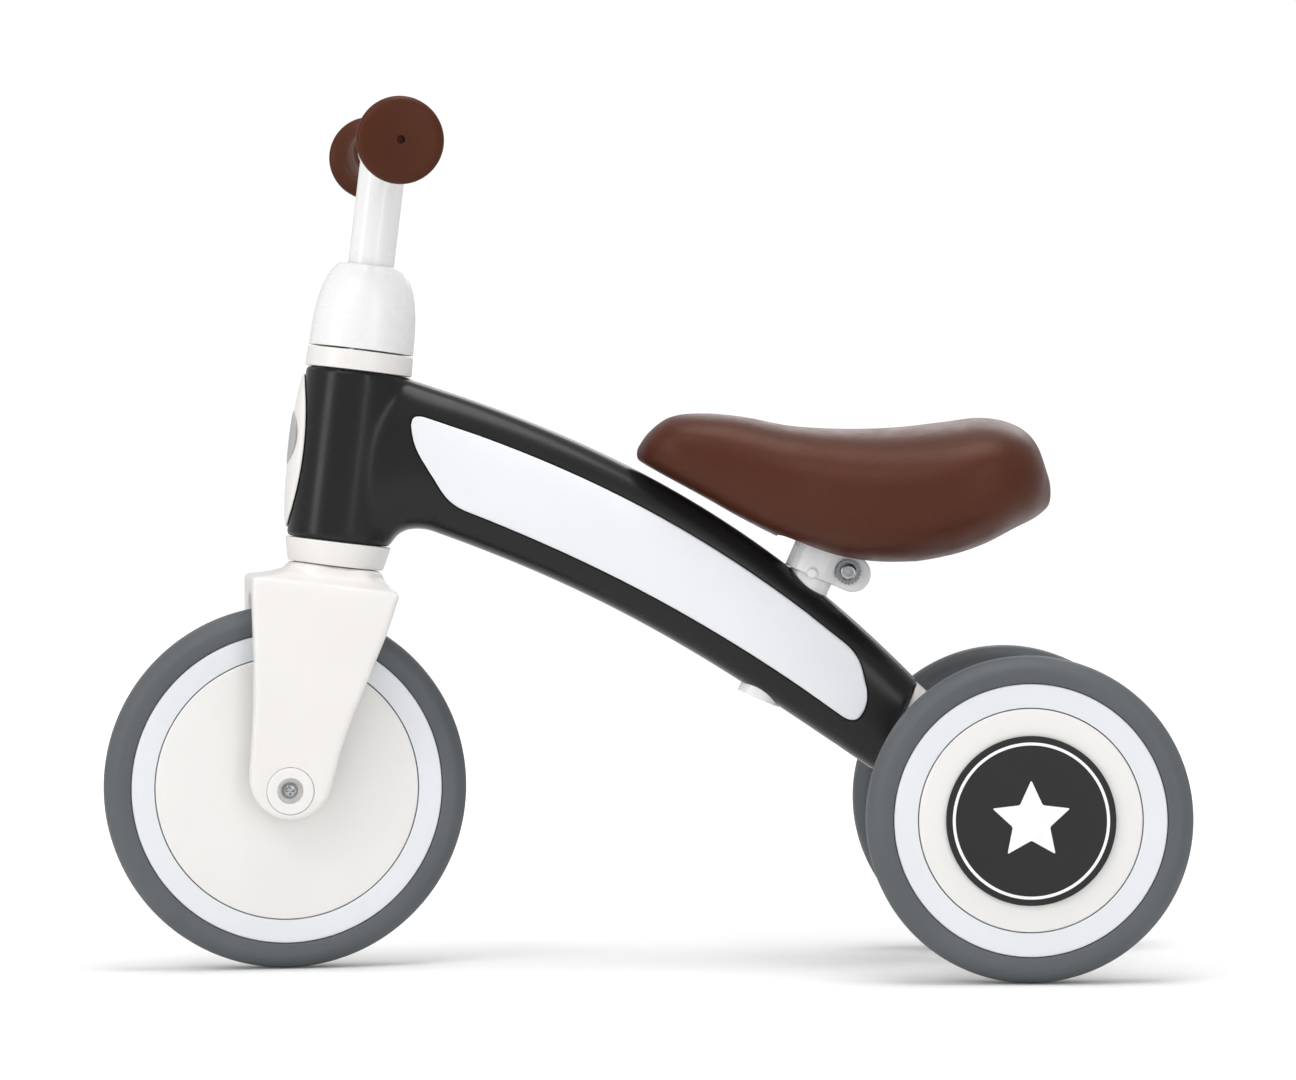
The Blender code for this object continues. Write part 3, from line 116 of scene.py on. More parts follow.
def rounded(corners, steps=6):
    """Closed outline through (x, y, radius) corners, each rounded off by about that radius."""
    outline = []
    for k, (x, y, radius) in enumerate(corners):
        here = Vector((x, y))
        if not radius:
            outline.append(here)
            continue
        before = Vector(corners[k - 1][:2]) - here
        after = Vector(corners[(k + 1) % len(corners)][:2]) - here
        start = here + before.normalized() * min(radius, before.length * 0.48)
        end = here + after.normalized() * min(radius, after.length * 0.48)
        for step in range(steps + 1):
            t = step / steps
            outline.append(start * (1 - t) ** 2 + here * 2 * t * (1 - t) + end * t * t)
    return outline


def grown(outline, amount):
    """Anticlockwise outline moved outwards."""
    moved = []
    for k, here in enumerate(outline):
        along = (outline[(k + 1) % len(outline)] - outline[k - 1]).normalized()
        moved.append(here + Vector((along.y, -along.x)) * amount)
    return moved


def through(stations, share):
    """Values at a share along (share, value, ...) stations, on smooth curves."""
    last = len(stations) - 1
    k = max(j for j in range(last) if stations[j][0] <= share or j == 0)
    a = stations[max(k - 1, 0)]
    b, c = stations[k], stations[k + 1]
    d = stations[min(k + 2, last)]
    span = c[0] - b[0]
    t = min(1, max(0, (share - b[0]) / span))
    values = []
    for i in range(1, len(b)):
        slope_in = (c[i] - a[i]) / (c[0] - a[0]) * span
        slope_out = (d[i] - b[i]) / (d[0] - b[0]) * span
        h = t * t * (3 - 2 * t)
        value = b[i] * (1 - h) + c[i] * h
        value += slope_in * t * (1 - t) ** 2 - slope_out * t * t * (1 - t)
        values.append(value)
    return values


# ---- Meshes --------------------------------------------------------------------------
def piece(name, shape, place=None):
    """Object of a bmesh, shaded smooth but for sharp edges."""
    bmesh.ops.remove_doubles(shape, verts=shape.verts, dist=1e-7)
    bmesh.ops.recalc_face_normals(shape, faces=shape.faces)
    mesh = bpy.data.meshes.new(name)
    shape.to_mesh(mesh)
    shape.free()
    if place:
        mesh.transform(place)
    mesh.shade_smooth()
    mesh.set_sharp_from_angle(angle=radians(40))
    thing = bpy.data.objects.new(name, mesh)
    bpy.context.scene.collection.objects.link(thing)
    return thing


def turned(name, outline, place, steps=128):
    """Solid of revolution of a closed (radius, height) outline."""
    shape = bmesh.new()
    rows = []
    for k in range(steps):
        turn = 2 * pi * k / steps
        rows.append([shape.verts.new((r * cos(turn), r * sin(turn), z)) for r, z in outline])
    count = len(outline)
    for k in range(steps):
        row, following = rows[k], rows[(k + 1) % steps]
        for j in range(count):
            i = (j + 1) % count
            if outline[i][0] > 1e-6 and outline[j][0] > 1e-6:
                shape.faces.new((row[j], row[i], following[i], following[j]))
            elif outline[j][0] > 1e-6:
                shape.faces.new((row[j], row[i], following[j]))
            elif outline[i][0] > 1e-6:
                shape.faces.new((row[j], row[i], following[i]))
    return piece(name, shape, place)


def bore(name, radius, low, high, place, steps=96):
    """Round cutter."""
    return turned(name, [(0, low), (radius, low), (radius, high), (0, high)], place, steps)


def add_prism(shape, points, height):
    """Adds a flat outline's points to a bmesh, raised along Z by a height."""
    base = shape.faces.new([shape.verts.new(point) for point in points])
    raised = bmesh.ops.extrude_face_region(shape, geom=[base])["geom"]
    corners = [item for item in raised if isinstance(item, bmesh.types.BMVert)]
    bmesh.ops.translate(shape, verts=corners, vec=(0, 0, height))


def extruded(name, outline, low, high, place):
    """Prism of an outline drawn in X and Y."""
    shape = bmesh.new()
    add_prism(shape, [(x, y, low) for x, y in outline], high - low)
    return piece(name, shape, place)


def lofted(name, rings):
    """Closed skin through a list of rings."""
    shape = bmesh.new()
    rows = [[shape.verts.new(point) for point in ring] for ring in rings]
    for row, following in zip(rows, rows[1:]):
        for k in range(len(row)):
            j = (k + 1) % len(row)
            shape.faces.new((row[k], row[j], following[j], following[k]))
    shape.faces.new(rows[0])
    shape.faces.new(rows[-1])
    return piece(name, shape)


def settle(thing):
    """Bakes an object's modifiers into its mesh."""
    bpy.context.view_layer.update()
    graph = bpy.context.evaluated_depsgraph_get()
    mesh = bpy.data.meshes.new_from_object(thing.evaluated_get(graph))
    thing.modifiers.clear()
    thing.data = mesh
    mesh.shade_smooth()
    mesh.set_sharp_from_angle(angle=radians(50))
    return thing


def carved(thing, *tools, operation="DIFFERENCE"):
    """Cuts tools out of an object, or joins or crosses them with it, and uses them up."""
    for tool in tools:
        modifier = thing.modifiers.new(tool.name, "BOOLEAN")
        modifier.operation = operation
        modifier.solver = "EXACT"
        modifier.object = tool
    settle(thing)
    for tool in tools:
        bpy.data.objects.remove(tool)
    return thing


def moulded(thing, voxel, rounds):
    """Remeshes a solid and relaxes it, which rounds its edges as a mould does."""
    remesh = thing.modifiers.new("remesh", "REMESH")
    remesh.mode = "VOXEL"
    remesh.voxel_size = voxel
    remesh.use_smooth_shade = True
    smooth = thing.modifiers.new("smooth", "SMOOTH")
    smooth.factor = 0.5
    smooth.iterations = rounds
    return settle(thing)


def copied(name, node):
    """New object with a copy of a node's mesh."""
    thing = bpy.data.objects.new(name, NODES[node].data.copy())
    thing.data.materials.clear()
    bpy.context.scene.collection.objects.link(thing)
    return thing


def fitted(thing, body, material, slot, *nodes):
    """Gives a piece its material and its body, and says which nodes it stands for."""
    thing.data.materials.clear()
    thing.data.materials.append(material)
    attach(thing, body)
    if nodes:
        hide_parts(*nodes)


# ---- Shader groups -------------------------------------------------------------------
class Wiring:
    """Short ways to add nodes and links to a node tree."""

    def __init__(self, tree):
        self.tree = tree
        self.tree.nodes.clear()

    def add(self, kind, settings=None, **inputs):
        """New node; an input's name has _ for a space, and its value may be a socket."""
        node = self.tree.nodes.new(kind)
        for key, value in (settings or {}).items():
            setattr(node, key, value)
        for key, value in inputs.items():
            self.feed(node, key.replace("_", " "), value)
        return node

    def feed(self, node, key, value):
        """Links a socket to a node's input, or sets the input; key is a name or a number."""
        socket = node.inputs[int(key)] if key.isdigit() else node.inputs[key]
        if isinstance(value, bpy.types.NodeSocket):
            self.tree.links.new(value, socket)
        else:
            socket.default_value = value

    def maths(self, operation, a, b):
        """Result of one sum on two values."""
        node = self.tree.nodes.new("ShaderNodeMath")
        node.operation = operation
        self.feed(node, "0", a)
        self.feed(node, "1", b)
        return node.outputs[0]

    def spread(self, value, low, high, to_low, to_high):
        """Value from one range to another, held inside it."""
        node = self.add("ShaderNodeMapRange", Value=value, From_Min=low, From_Max=high,
                        To_Min=to_low, To_Max=to_high)
        return node.outputs[0]

    def mix(self, share, a, b):
        """Colour a share of the way from a to b."""
        node = self.add("ShaderNodeMix", {"data_type": "RGBA"})
        for key, value in (("0", share), ("6", a), ("7", b)):
            self.feed(node, key, value)
        return node.outputs[2]


def group(name, inputs, outputs):
    """New shader group; inputs are (name, kind, default), outputs (name, kind)."""
    tree = bpy.data.node_groups.new(name, "ShaderNodeTree")
    wiring = Wiring(tree)
    for label, kind, default in inputs:
        socket = tree.interface.new_socket(label, in_out="INPUT", socket_type=kind)
        socket.default_value = default
    for label, kind in outputs:
        tree.interface.new_socket(label, in_out="OUTPUT", socket_type=kind)
    source = tree.nodes.new("NodeGroupInput")
    target = tree.nodes.new("NodeGroupOutput")
    return wiring, source.outputs, target


FLOAT = "NodeSocketFloat"
COLOUR = "NodeSocketColor"
GREY = (0.5, 0.5, 0.5, 1)


def tone_drift_group():
    """Slow change of a colour's brightness over the surface."""
    wires, given, out = group("tone_drift", [("Colour", COLOUR, GREY), ("Amount", FLOAT, 0.04),
                                             ("Scale", FLOAT, 20)], [("Colour", COLOUR)])
    where = wires.add("ShaderNodeTexCoord").outputs["Object"]
    noise = wires.add("ShaderNodeTexNoise", Vector=where, Scale=given["Scale"], Detail=4.0)
    swing = wires.spread(noise.outputs["Fac"], 0.3, 0.7, -1, 1)
    value = wires.maths("ADD", wires.maths("MULTIPLY", swing, given["Amount"]), 1)
    shade = wires.add("ShaderNodeHueSaturation", Value=value, Color=given["Colour"])
    wires.feed(out, "Colour", shade.outputs["Color"])
    return wires.tree


def gloss_drift_group():
    """Faint cloudiness of a roughness."""
    wires, given, out = group("gloss_drift", [("Roughness", FLOAT, 0.4), ("Amount", FLOAT, 0.1),
                                              ("Scale", FLOAT, 60)], [("Roughness", FLOAT)])
    where = wires.add("ShaderNodeTexCoord").outputs["Object"]
    noise = wires.add("ShaderNodeTexNoise", Vector=where, Scale=given["Scale"], Detail=5.0)
    swing = wires.spread(noise.outputs["Fac"], 0.3, 0.7, -1, 1)
    change = wires.maths("MULTIPLY", swing, given["Amount"])
    wires.feed(out, "Roughness", wires.maths("ADD", given["Roughness"], change))
    return wires.tree


def moulded_grain_group():
    """Fine grain that a mould leaves: two sizes of noise."""
    wires, given, out = group("moulded_grain", [("Scale", FLOAT, 1500), ("Coarse", FLOAT, 0.3)],
                              [("Height", FLOAT)])
    where = wires.add("ShaderNodeTexCoord").outputs["Object"]
    fine = wires.add("ShaderNodeTexNoise", Vector=where, Scale=given["Scale"], Detail=3.0)
    slow = wires.maths("DIVIDE", given["Scale"], 12)
    wide = wires.add("ShaderNodeTexNoise", Vector=where, Scale=slow, Detail=2.0)
    height = wires.mix(given["Coarse"], fine.outputs["Fac"], wide.outputs["Fac"])
    wires.feed(out, "Height", height)
    return wires.tree


def edge_rub_group():
    """Lightening where edges are rubbed, broken up by noise."""
    wires, given, out = group("edge_rub", [("Colour", COLOUR, GREY), ("Rubbed", COLOUR, GREY),
                                           ("Amount", FLOAT, 0.3)],
                              [("Colour", COLOUR), ("Mask", FLOAT)])
    bend = wires.add("ShaderNodeNewGeometry").outputs["Pointiness"]
    edge = wires.spread(bend, 0.51, 0.58, 0, 1)
    where = wires.add("ShaderNodeTexCoord").outputs["Object"]
    noise = wires.add("ShaderNodeTexNoise", Vector=where, Scale=180.0, Detail=6.0)
    broken = wires.spread(noise.outputs["Fac"], 0.42, 0.62, 0, 1)
    mask = wires.maths("MULTIPLY", wires.maths("MULTIPLY", edge, broken), given["Amount"])
    wires.feed(out, "Mask", mask)
    wires.feed(out, "Colour", wires.mix(mask, given["Colour"], given["Rubbed"]))
    return wires.tree


def pebble_grain_group():
    """Skin of small pebbles parted by creases, with fine pores."""
    wires, given, out = group("pebble_grain", [("Scale", FLOAT, 800)],
                              [("Height", FLOAT), ("Crease", FLOAT)])
    where = wires.add("ShaderNodeTexCoord").outputs["Object"]
    wobble = wires.add("ShaderNodeTexNoise", Vector=where, Scale=120.0, Detail=3.0)
    shifted = wires.add("ShaderNodeVectorMath", {"operation": "MULTIPLY_ADD"})
    wires.feed(shifted, "0", wobble.outputs["Color"])
    shifted.inputs[1].default_value = (0.002, 0.002, 0.002)
    wires.feed(shifted, "2", where)
    cells = wires.add("ShaderNodeTexVoronoi", {"feature": "DISTANCE_TO_EDGE"},
                      Vector=shifted.outputs[0], Scale=given["Scale"])
    pebble = wires.spread(cells.outputs["Distance"], 0.0, 0.28, 0, 1)
    fine = wires.add("ShaderNodeTexNoise", Vector=where, Scale=3500.0, Detail=3.0)
    height = wires.maths("ADD", pebble, wires.maths("MULTIPLY", fine.outputs["Fac"], 0.4))
    wires.feed(out, "Height", height)
    # crease mask; the saddle uses it to paint shade into its grain's creases
    wires.feed(out, "Crease", wires.maths("SUBTRACT", 1, pebble))
    return wires.tree


def plating_group():
    """Zinc plating: small crystals that change its brightness and gloss."""
    wires, given, out = group("plating", [("Colour", COLOUR, GREY), ("Scale", FLOAT, 900)],
                              [("Colour", COLOUR), ("Roughness", FLOAT), ("Height", FLOAT)])
    where = wires.add("ShaderNodeTexCoord").outputs["Object"]
    cells = wires.add("ShaderNodeTexVoronoi", Vector=where, Scale=given["Scale"])
    noise = wires.add("ShaderNodeTexNoise", Vector=where, Scale=250.0, Detail=5.0)
    tone = wires.spread(cells.outputs["Distance"], 0, 1, 0.85, 1.1)
    shade = wires.add("ShaderNodeHueSaturation", Value=tone, Color=given["Colour"])
    wires.feed(out, "Colour", shade.outputs["Color"])
    wires.feed(out, "Roughness", wires.spread(noise.outputs["Fac"], 0.3, 0.7, 0.18, 0.38))
    wires.feed(out, "Height", noise.outputs["Fac"])
    return wires.tree


TONE_DRIFT = tone_drift_group()
GLOSS_DRIFT = gloss_drift_group()
MOULDED_GRAIN = moulded_grain_group()
EDGE_RUB = edge_rub_group()
PEBBLE_GRAIN = pebble_grain_group()
PLATING = plating_group()


# ---- Materials -----------------------------------------------------------------------
def opened(name):
    """New material: its wiring and its shader."""
    material = bpy.data.materials.new(name)
    material.use_nodes = True
    wires = Wiring(material.node_tree)
    shader = wires.add("ShaderNodeBsdfPrincipled")
    output = wires.add("ShaderNodeOutputMaterial")
    wires.tree.links.new(shader.outputs[0], output.inputs[0])
    return material, wires, shader


def placed_group(wires, tree, **inputs):
    """Puts a shader group in a material with its own values; gives its outputs."""
    node = wires.add("ShaderNodeGroup", {"node_tree": tree}, **inputs)
    return node.outputs


def bumped(wires, shader, height, strength, distance):
    """Presses a height into a shader's normals."""
    bump = wires.add("ShaderNodeBump", Height=height, Strength=strength, Distance=distance)
    wires.feed(shader, "Normal", bump.outputs["Normal"])


def plastic(name, colour, roughness, grain=1400, depth=0.00002, drift=0.02, coat=0.0,
            rubbed=None, rub=0.05, cloud=0.04, specular=0.5, tint=(1, 1, 1)):
    """Moulded plastic or rubber: colour drift, rubbed edges, cloudy gloss and mould grain."""
    material, wires, shader = opened(name)
    toned = placed_group(wires, TONE_DRIFT, Colour=(*colour, 1), Amount=drift, Scale=18.0)
    lighter = rubbed or [min(1, channel * 1.15 + 0.01) for channel in colour]
    worn = placed_group(wires, EDGE_RUB, Colour=toned["Colour"], Rubbed=(*lighter, 1), Amount=rub)
    wires.feed(shader, "Base Color", worn["Colour"])
    gloss = placed_group(wires, GLOSS_DRIFT, Roughness=roughness, Amount=cloud, Scale=70.0)
    wires.feed(shader, "Roughness", gloss["Roughness"])
    height = placed_group(wires, MOULDED_GRAIN, Scale=float(grain), Coarse=0.35)["Height"]
    bumped(wires, shader, height, 0.5, depth)
    shader.inputs["Specular IOR Level"].default_value = specular
    shader.inputs["Specular Tint"].default_value = (*tint, 1)
    shader.inputs["Coat Weight"].default_value = coat
    shader.inputs["Coat Roughness"].default_value = 0.06
    return material


def metal(name, colour):
    """Plated steel in one tone."""
    material, wires, shader = opened(name)
    plated = placed_group(wires, PLATING, Colour=(*colour, 1), Scale=900.0)
    wires.feed(shader, "Base Color", plated["Colour"])
    wires.feed(shader, "Roughness", plated["Roughness"])
    shader.inputs["Metallic"].default_value = 1.0
    bumped(wires, shader, plated["Height"], 0.4, 0.00003)
    return material


def saddle_leather():
    """Brown self-skinned foam: pebbled, softly shiny, with painted shade darkening the creases of
    its grain.
    """
    material, wires, shader = opened("saddle_skin")
    toned = placed_group(wires, TONE_DRIFT, Colour=(0.074, 0.0225, 0.0130, 1), Amount=0.07,
                         Scale=14.0)
    grain = placed_group(wires, PEBBLE_GRAIN, Scale=1100.0)
    # painted shade: the grain's creases are darkened towards dark brown (0.045, 0.015, 0.0095), as
    # shade would fall in them
    crease_shade = wires.maths("MULTIPLY", grain["Crease"], 0.35)
    colour = wires.mix(crease_shade, toned["Colour"], (0.045, 0.015, 0.0095, 1))
    worn = placed_group(wires, EDGE_RUB, Colour=colour, Rubbed=(0.12, 0.052, 0.037, 1), Amount=0.2)
    wires.feed(shader, "Base Color", worn["Colour"])
    gloss = placed_group(wires, GLOSS_DRIFT, Roughness=0.38, Amount=0.05, Scale=90.0)
    wires.feed(shader, "Roughness", gloss["Roughness"])
    bumped(wires, shader, grain["Height"], 0.35, 0.00008)
    shader.inputs["Specular IOR Level"].default_value = 0.24
    shader.inputs["Specular Tint"].default_value = (1, 0.66, 0.52, 1)
    return material


FRAME_BLACK = plastic("frame_black", (0.0120, 0.0120, 0.0122), 0.26, grain=700, depth=0.000012,
                      drift=0.05, rubbed=(0.035, 0.035, 0.035), rub=0.2, cloud=0.02,
                      specular=0.25)
WARM_WHITE = plastic("warm_white", (0.79, 0.767, 0.748), 0.34)
COVER_WHITE = plastic("cover_white", (0.82, 0.815, 0.815), 0.28)
STEEL_WHITE = plastic("steel_white", (0.84, 0.84, 0.845), 0.25, grain=500, coat=0.2)
PANEL_WHITE = plastic("panel_white", (0.78, 0.795, 0.825), 0.32, drift=0.015)
RIM_WHITE = plastic("rim_plastic", (0.74, 0.757, 0.79), 0.38)
DISC_WHITE = plastic("disc_plastic", (0.79, 0.78, 0.76), 0.44, grain=2200, depth=0.00004)
TYRE_RUBBER = plastic("tyre_rubber", (0.096, 0.106, 0.113), 0.56, grain=1600, depth=0.00007,
                      drift=0.08, rubbed=(0.16, 0.17, 0.175), rub=0.3, cloud=0.08, specular=0.35)
GRIP_RUBBER = plastic("grip_rubber", (0.066, 0.0195, 0.0105), 0.40, grain=1300, depth=0.00006,
                      drift=0.10, rubbed=(0.12, 0.058, 0.042), rub=0.3, cloud=0.08, specular=0.22,
                      tint=(1, 0.6, 0.45))
LABEL_DARK = plastic("label_dark", (0.020, 0.020, 0.020), 0.5, drift=0.04, rub=0.1, specular=0.25)
LABEL_WHITE = plastic("label_white", (0.88, 0.88, 0.88), 0.45)
EMBLEM_GREY = plastic("emblem_grey", (0.42, 0.42, 0.425), 0.40, drift=0.04)
BASE_BLACK = plastic("base_black", (0.028, 0.028, 0.028), 0.5, depth=0.00008, drift=0.06)
NYLON = plastic("nylon", (0.74, 0.74, 0.72), 0.45)
STEEL = metal("steel", (0.74, 0.76, 0.78))
DARK_STEEL = metal("dark_steel", (0.27, 0.285, 0.30))
ZINC = metal("zinc", (0.44, 0.455, 0.47))
SADDLE_SKIN = saddle_leather()


# ---- Wheels --------------------------------------------------------------------------
TYRE_SIDES = 32                    # of the solid's circle
TYRE_HEIGHT = 0.0138
TYRE_HALF_WIDTH = 0.0140
BEAD_HALF_WIDTH = 0.0095
RIM_RING = 0.0123
RIM_HALF_WIDTH = 0.0126
DISC_FACE = 0.0122
DISC_DOME = 0.0012
HUB_RADIUS = 0.0120
HUB_BORE = 0.0086
RIB_COUNT = 10
RIB_HALF_WIDTH = 0.0007
REAR_DISC_OPENING = 0.0212
CAP_RING_RADIUS = 0.0387
CAP_RING_HALF_WIDTH = 0.00075
STAR_POINTS = 5
STAR_RADII = (0.0205, 0.0098)      # of its points and of the corners between them
PRINT_HEIGHT = 0.00012
PRINT_ROOT = 0.0003                # how deep the print starts in the cap


def tyre(name, node, place, radius, body):
    """Foam tyre: full sidewalls, a soft tread and two fine moulded lines beside it."""
    edge = radius - TYRE_HEIGHT
    width = TYRE_HALF_WIDTH
    half = [
        (edge - 0.0024, BEAD_HALF_WIDTH, 0.0004),
        (edge + 0.0003, BEAD_HALF_WIDTH, 0.0004),
        (edge + 0.0003, width - 0.0012, 0.0009),
        (edge + 0.0032, width - 0.0001, 0.0030),
        (radius - 0.0056, width, 0.0052),
        (radius - 0.0008, width - 0.0050, 0.0050),
        (radius, 0.0052, 0.0025),
    ]
    half += [(radius, 0.0036, 0.0002), (radius - 0.0005, 0.0032, 0.0002),
             (radius - 0.0005, 0.0029, 0.0002), (radius, 0.0025, 0.0002)]
    corners = half + [(r, -z, round_off) for r, z, round_off in reversed(half)]
    thing = turned(name, rounded(corners, 7), place, 160)
    fitted(thing, body, TYRE_RUBBER, "tyre_rubber", node)


def web_ribs(place, inner, outer, low, high):
    """Radial ribs of a rim's web, in one mesh."""
    shape = bmesh.new()
    half = RIB_HALF_WIDTH
    for k in range(RIB_COUNT):
        spin = Matrix.Rotation(2 * pi * k / RIB_COUNT, 4, "Z")
        corners = [(inner, -half * 1.6), (outer, -half), (outer, half), (inner, half * 1.6)]
        add_prism(shape, [spin @ Vector((x, y, low)) for x, y in corners], high - low)
    return piece("ribs", shape, place)


def rim(name, node, place, radius, body, closed):
    """Rim with rounded lips and a hub; closed says if the web shuts the wheel's inner side."""
    edge = radius - TYRE_HEIGHT
    disc = edge - RIM_RING
    low, high, _ = reach(node, place)
    ring = RIM_HALF_WIDTH
    web = -0.0111 if closed else -0.0020
    outline = rounded([
        (HUB_BORE, low, 0.0003), (HUB_RADIUS, low, 0.0006), (HUB_RADIUS, web, 0.0015),
        (disc * 0.5, web, 0), (disc - 0.0015, web, 0.0006),
        (disc - 0.0009, -ring + 0.0006, 0.0005), (edge - 0.0030, -ring + 0.0001, 0.0006),
        (edge, -ring, 0.0009),
        (edge, -BEAD_HALF_WIDTH - 0.0003, 0), (edge - 0.0027, -BEAD_HALF_WIDTH - 0.0003, 0),
        (edge - 0.0027, BEAD_HALF_WIDTH + 0.0003, 0), (edge, BEAD_HALF_WIDTH + 0.0003, 0),
        (edge, ring, 0.0009), (edge - 0.0030, ring - 0.0001, 0.0006),
        (disc + 0.0003, ring - 0.0006, 0.0005), (disc + 0.0003, web + 0.0040, 0.0008),
        (HUB_RADIUS, web + 0.0040, 0.0010), (HUB_RADIUS, high, 0.0006), (HUB_BORE, high, 0.0003),
    ], 4)
    thing = turned(name, outline, place)
    if closed:
        ribs = web_ribs(place, HUB_RADIUS - 0.001, disc - 0.0006, web - 0.0010, web + 0.001)
        carved(thing, ribs, operation="UNION")
    fitted(thing, body, RIM_WHITE, "rim_plastic", node)


def wheel_disc(name, node, place, radius, opening, body):
    """Slightly domed cover with a rounded edge that drops into the rim."""
    disc = radius - TYRE_HEIGHT - RIM_RING - 0.0002
    lip = DISC_FACE - 0.0060
    thick = 0.0020
    dome = [(mixed(disc - 0.0010, opening, k / 10),
             DISC_FACE + DISC_DOME * (1 - (1 - k / 10) ** 2), 0) for k in range(1, 10)]
    crown = DISC_FACE + DISC_DOME
    corners = [(opening, crown - thick, 0), (disc - thick, DISC_FACE - thick, 0.0005),
               (disc - thick, lip, 0.0003), (disc, lip, 0.0003), (disc, DISC_FACE, 0.0009), *dome,
               (opening, crown, 0.0003)]
    thing = turned(name, rounded(corners, 5), place)
    fitted(thing, body, DISC_WHITE, "disc_plastic", node)


def star_outline():
    """Star with soft corners and one point up along Y."""
    corners = []
    for k in range(2 * STAR_POINTS):
        radius = STAR_RADII[k % 2]
        angle = pi / 2 + pi * k / STAR_POINTS
        corners.append((radius * cos(angle), radius * sin(angle), 0.0011))
    return rounded(corners, 4)


def hub_cap(side, place, body):
    """Dark cap with a thin printed ring and a plain star."""
    low, top, radius = reach("hub_cap_" + side, place)
    face = top - PRINT_HEIGHT
    cap = turned("hub_cap_cover_" + side, rounded([
        (0, low, 0), (radius, low, 0.0002), (radius, face, 0.0007), (0, face, 0),
    ], 5), place)
    fitted(cap, body, LABEL_DARK, "label_dark", "hub_cap_" + side)
    inner, outer = CAP_RING_RADIUS - CAP_RING_HALF_WIDTH, CAP_RING_RADIUS + CAP_RING_HALF_WIDTH
    ring = turned("hub_cap_ring_" + side, rounded([
        (inner, face - PRINT_ROOT, 0), (outer, face - PRINT_ROOT, 0), (outer, top, 0.00005),
        (inner, top, 0.00005)], 2), place)
    fitted(ring, body, LABEL_WHITE, "cover_white")
    # the star stands upright while the wheel is at rest
    up = place.inverted().to_3x3() @ Vector((0, 0, 1))
    upright = Matrix.Rotation(-Vector((0, 1)).angle_signed(up.xy), 4, "Z")
    star = extruded("hub_cap_star_" + side, star_outline(), face - PRINT_ROOT, top,
                    place @ upright)
    fitted(star, body, LABEL_WHITE, "cover_white")


def wheels():
    """Front wheel between two covers, and rear wheels with a cover and a cap each."""
    radius = inside_flats(reach("front_tyre", FRONT_WHEEL)[2], TYRE_SIDES)
    body = "front_wheel"
    tyre("front_tyre_foam", "front_tyre", FRONT_WHEEL, radius, body)
    rim("front_rim_casting", "front_rim", FRONT_WHEEL, radius, body, False)
    for side, place in (("left", FRONT_WHEEL), ("right", FRONT_WHEEL_FAR)):
        wheel_disc("front_cover_" + side, "front_wheel_disc_" + side, place, radius,
                   HUB_RADIUS + 0.0012, body)
    for side, place in REAR_WHEEL.items():
        radius = inside_flats(reach("rear_tyre_" + side, place)[2], TYRE_SIDES)
        body = "rear_wheel_" + side
        tyre("rear_tyre_foam_" + side, "rear_tyre_" + side, place, radius, body)
        rim("rear_rim_casting_" + side, "rear_rim_" + side, place, radius, body, True)
        wheel_disc("rear_cover_" + side, "rear_wheel_disc_" + side, place, radius,
                   REAR_DISC_OPENING, body)
        hub_cap(side, place, body)


# ---- Head tube, cups, bell and badge -------------------------------------------------
HEAD_RADIUS = 0.0273
HEAD_LENGTH = 0.0897
HEAD_BORE = 0.0220
CUP_BORE = 0.0098
CUP_PLUG = 0.0217                  # of the part inside the head tube
LOWER_CUP_HEIGHT = 0.0124
UPPER_CUP_HEIGHT = 0.0102
HEAD_BOTTOM = reach("lower_bearing_cup", HEAD)[0] + LOWER_CUP_HEIGHT + GAP
HEAD_TOP = HEAD_BOTTOM + HEAD_LENGTH
LOCK_SCREW_RADIUS = 0.0028
LOCK_SCREW_HEIGHT = 0.0140         # over the bell's lower edge


def cups_and_bell():
    """Rings that carry the steering at both ends of the head tube, and the bell over them."""
    low, high, _ = reach("lower_bearing_cup", HEAD)
    flange = low + LOWER_CUP_HEIGHT
    lower = rounded([
        (CUP_BORE, low, 0.0003), (HEAD_RADIUS - 0.0021, low, 0.0007),
        (HEAD_RADIUS + 0.0006, flange, 0.0008), (CUP_PLUG, flange, 0.0002),
        (CUP_PLUG, high, 0.0003), (CUP_BORE, high, 0.0003)], 5)
    fitted(turned("lower_cup_shell", lower, HEAD), "frame", WARM_WHITE, "warm_white",
           "lower_bearing_cup")
    low, high, _ = reach("upper_bearing_cup", HEAD)
    seat = high - UPPER_CUP_HEIGHT
    upper = rounded([
        (CUP_BORE, low, 0.0003), (CUP_PLUG, low, 0.0003), (CUP_PLUG, seat, 0.0002),
        (HEAD_RADIUS + 0.0008, seat, 0.0008), (HEAD_RADIUS + 0.0004, high, 0.0006),
        (CUP_BORE, high, 0.0003)], 5)
    fitted(turned("upper_cup_shell", upper, HEAD), "frame", WARM_WHITE, "warm_white",
           "upper_bearing_cup")
    low, high, _ = reach("stem_collar", STEERING)
    rise = high - low
    side = [(HEAD_RADIUS + 0.0002, low), (HEAD_RADIUS + 0.0002, low + rise * 0.45),
            (HEAD_RADIUS - 0.0020, low + rise * 0.80), (0.0172, high)]
    curve = [(*bezier(side, k / 20), 0) for k in range(1, 20)]
    bell = rounded([
        (HEAD_RADIUS + 0.0002, low, 0.0006), *curve, (0.0168, high - 0.0001, 0.0012),
        (0.0128, high, 0.0005), (0.0125, low + 0.0037, 0), (CUP_BORE, low + 0.0037, 0),
        (CUP_BORE, low, 0.0003)], 5)
    thing = turned("stem_bell", bell, STEERING)
    # hole for the lock screw, out through the back
    across = STEERING @ Matrix.Translation((0, 0, low + LOCK_SCREW_HEIGHT))
    across @= Matrix.Rotation(pi / 2, 4, "X")
    carved(thing, bore("hole", LOCK_SCREW_RADIUS, -0.04, 0, across, 40))
    fitted(thing, "steering", COVER_WHITE, "cover_white", "stem_collar")


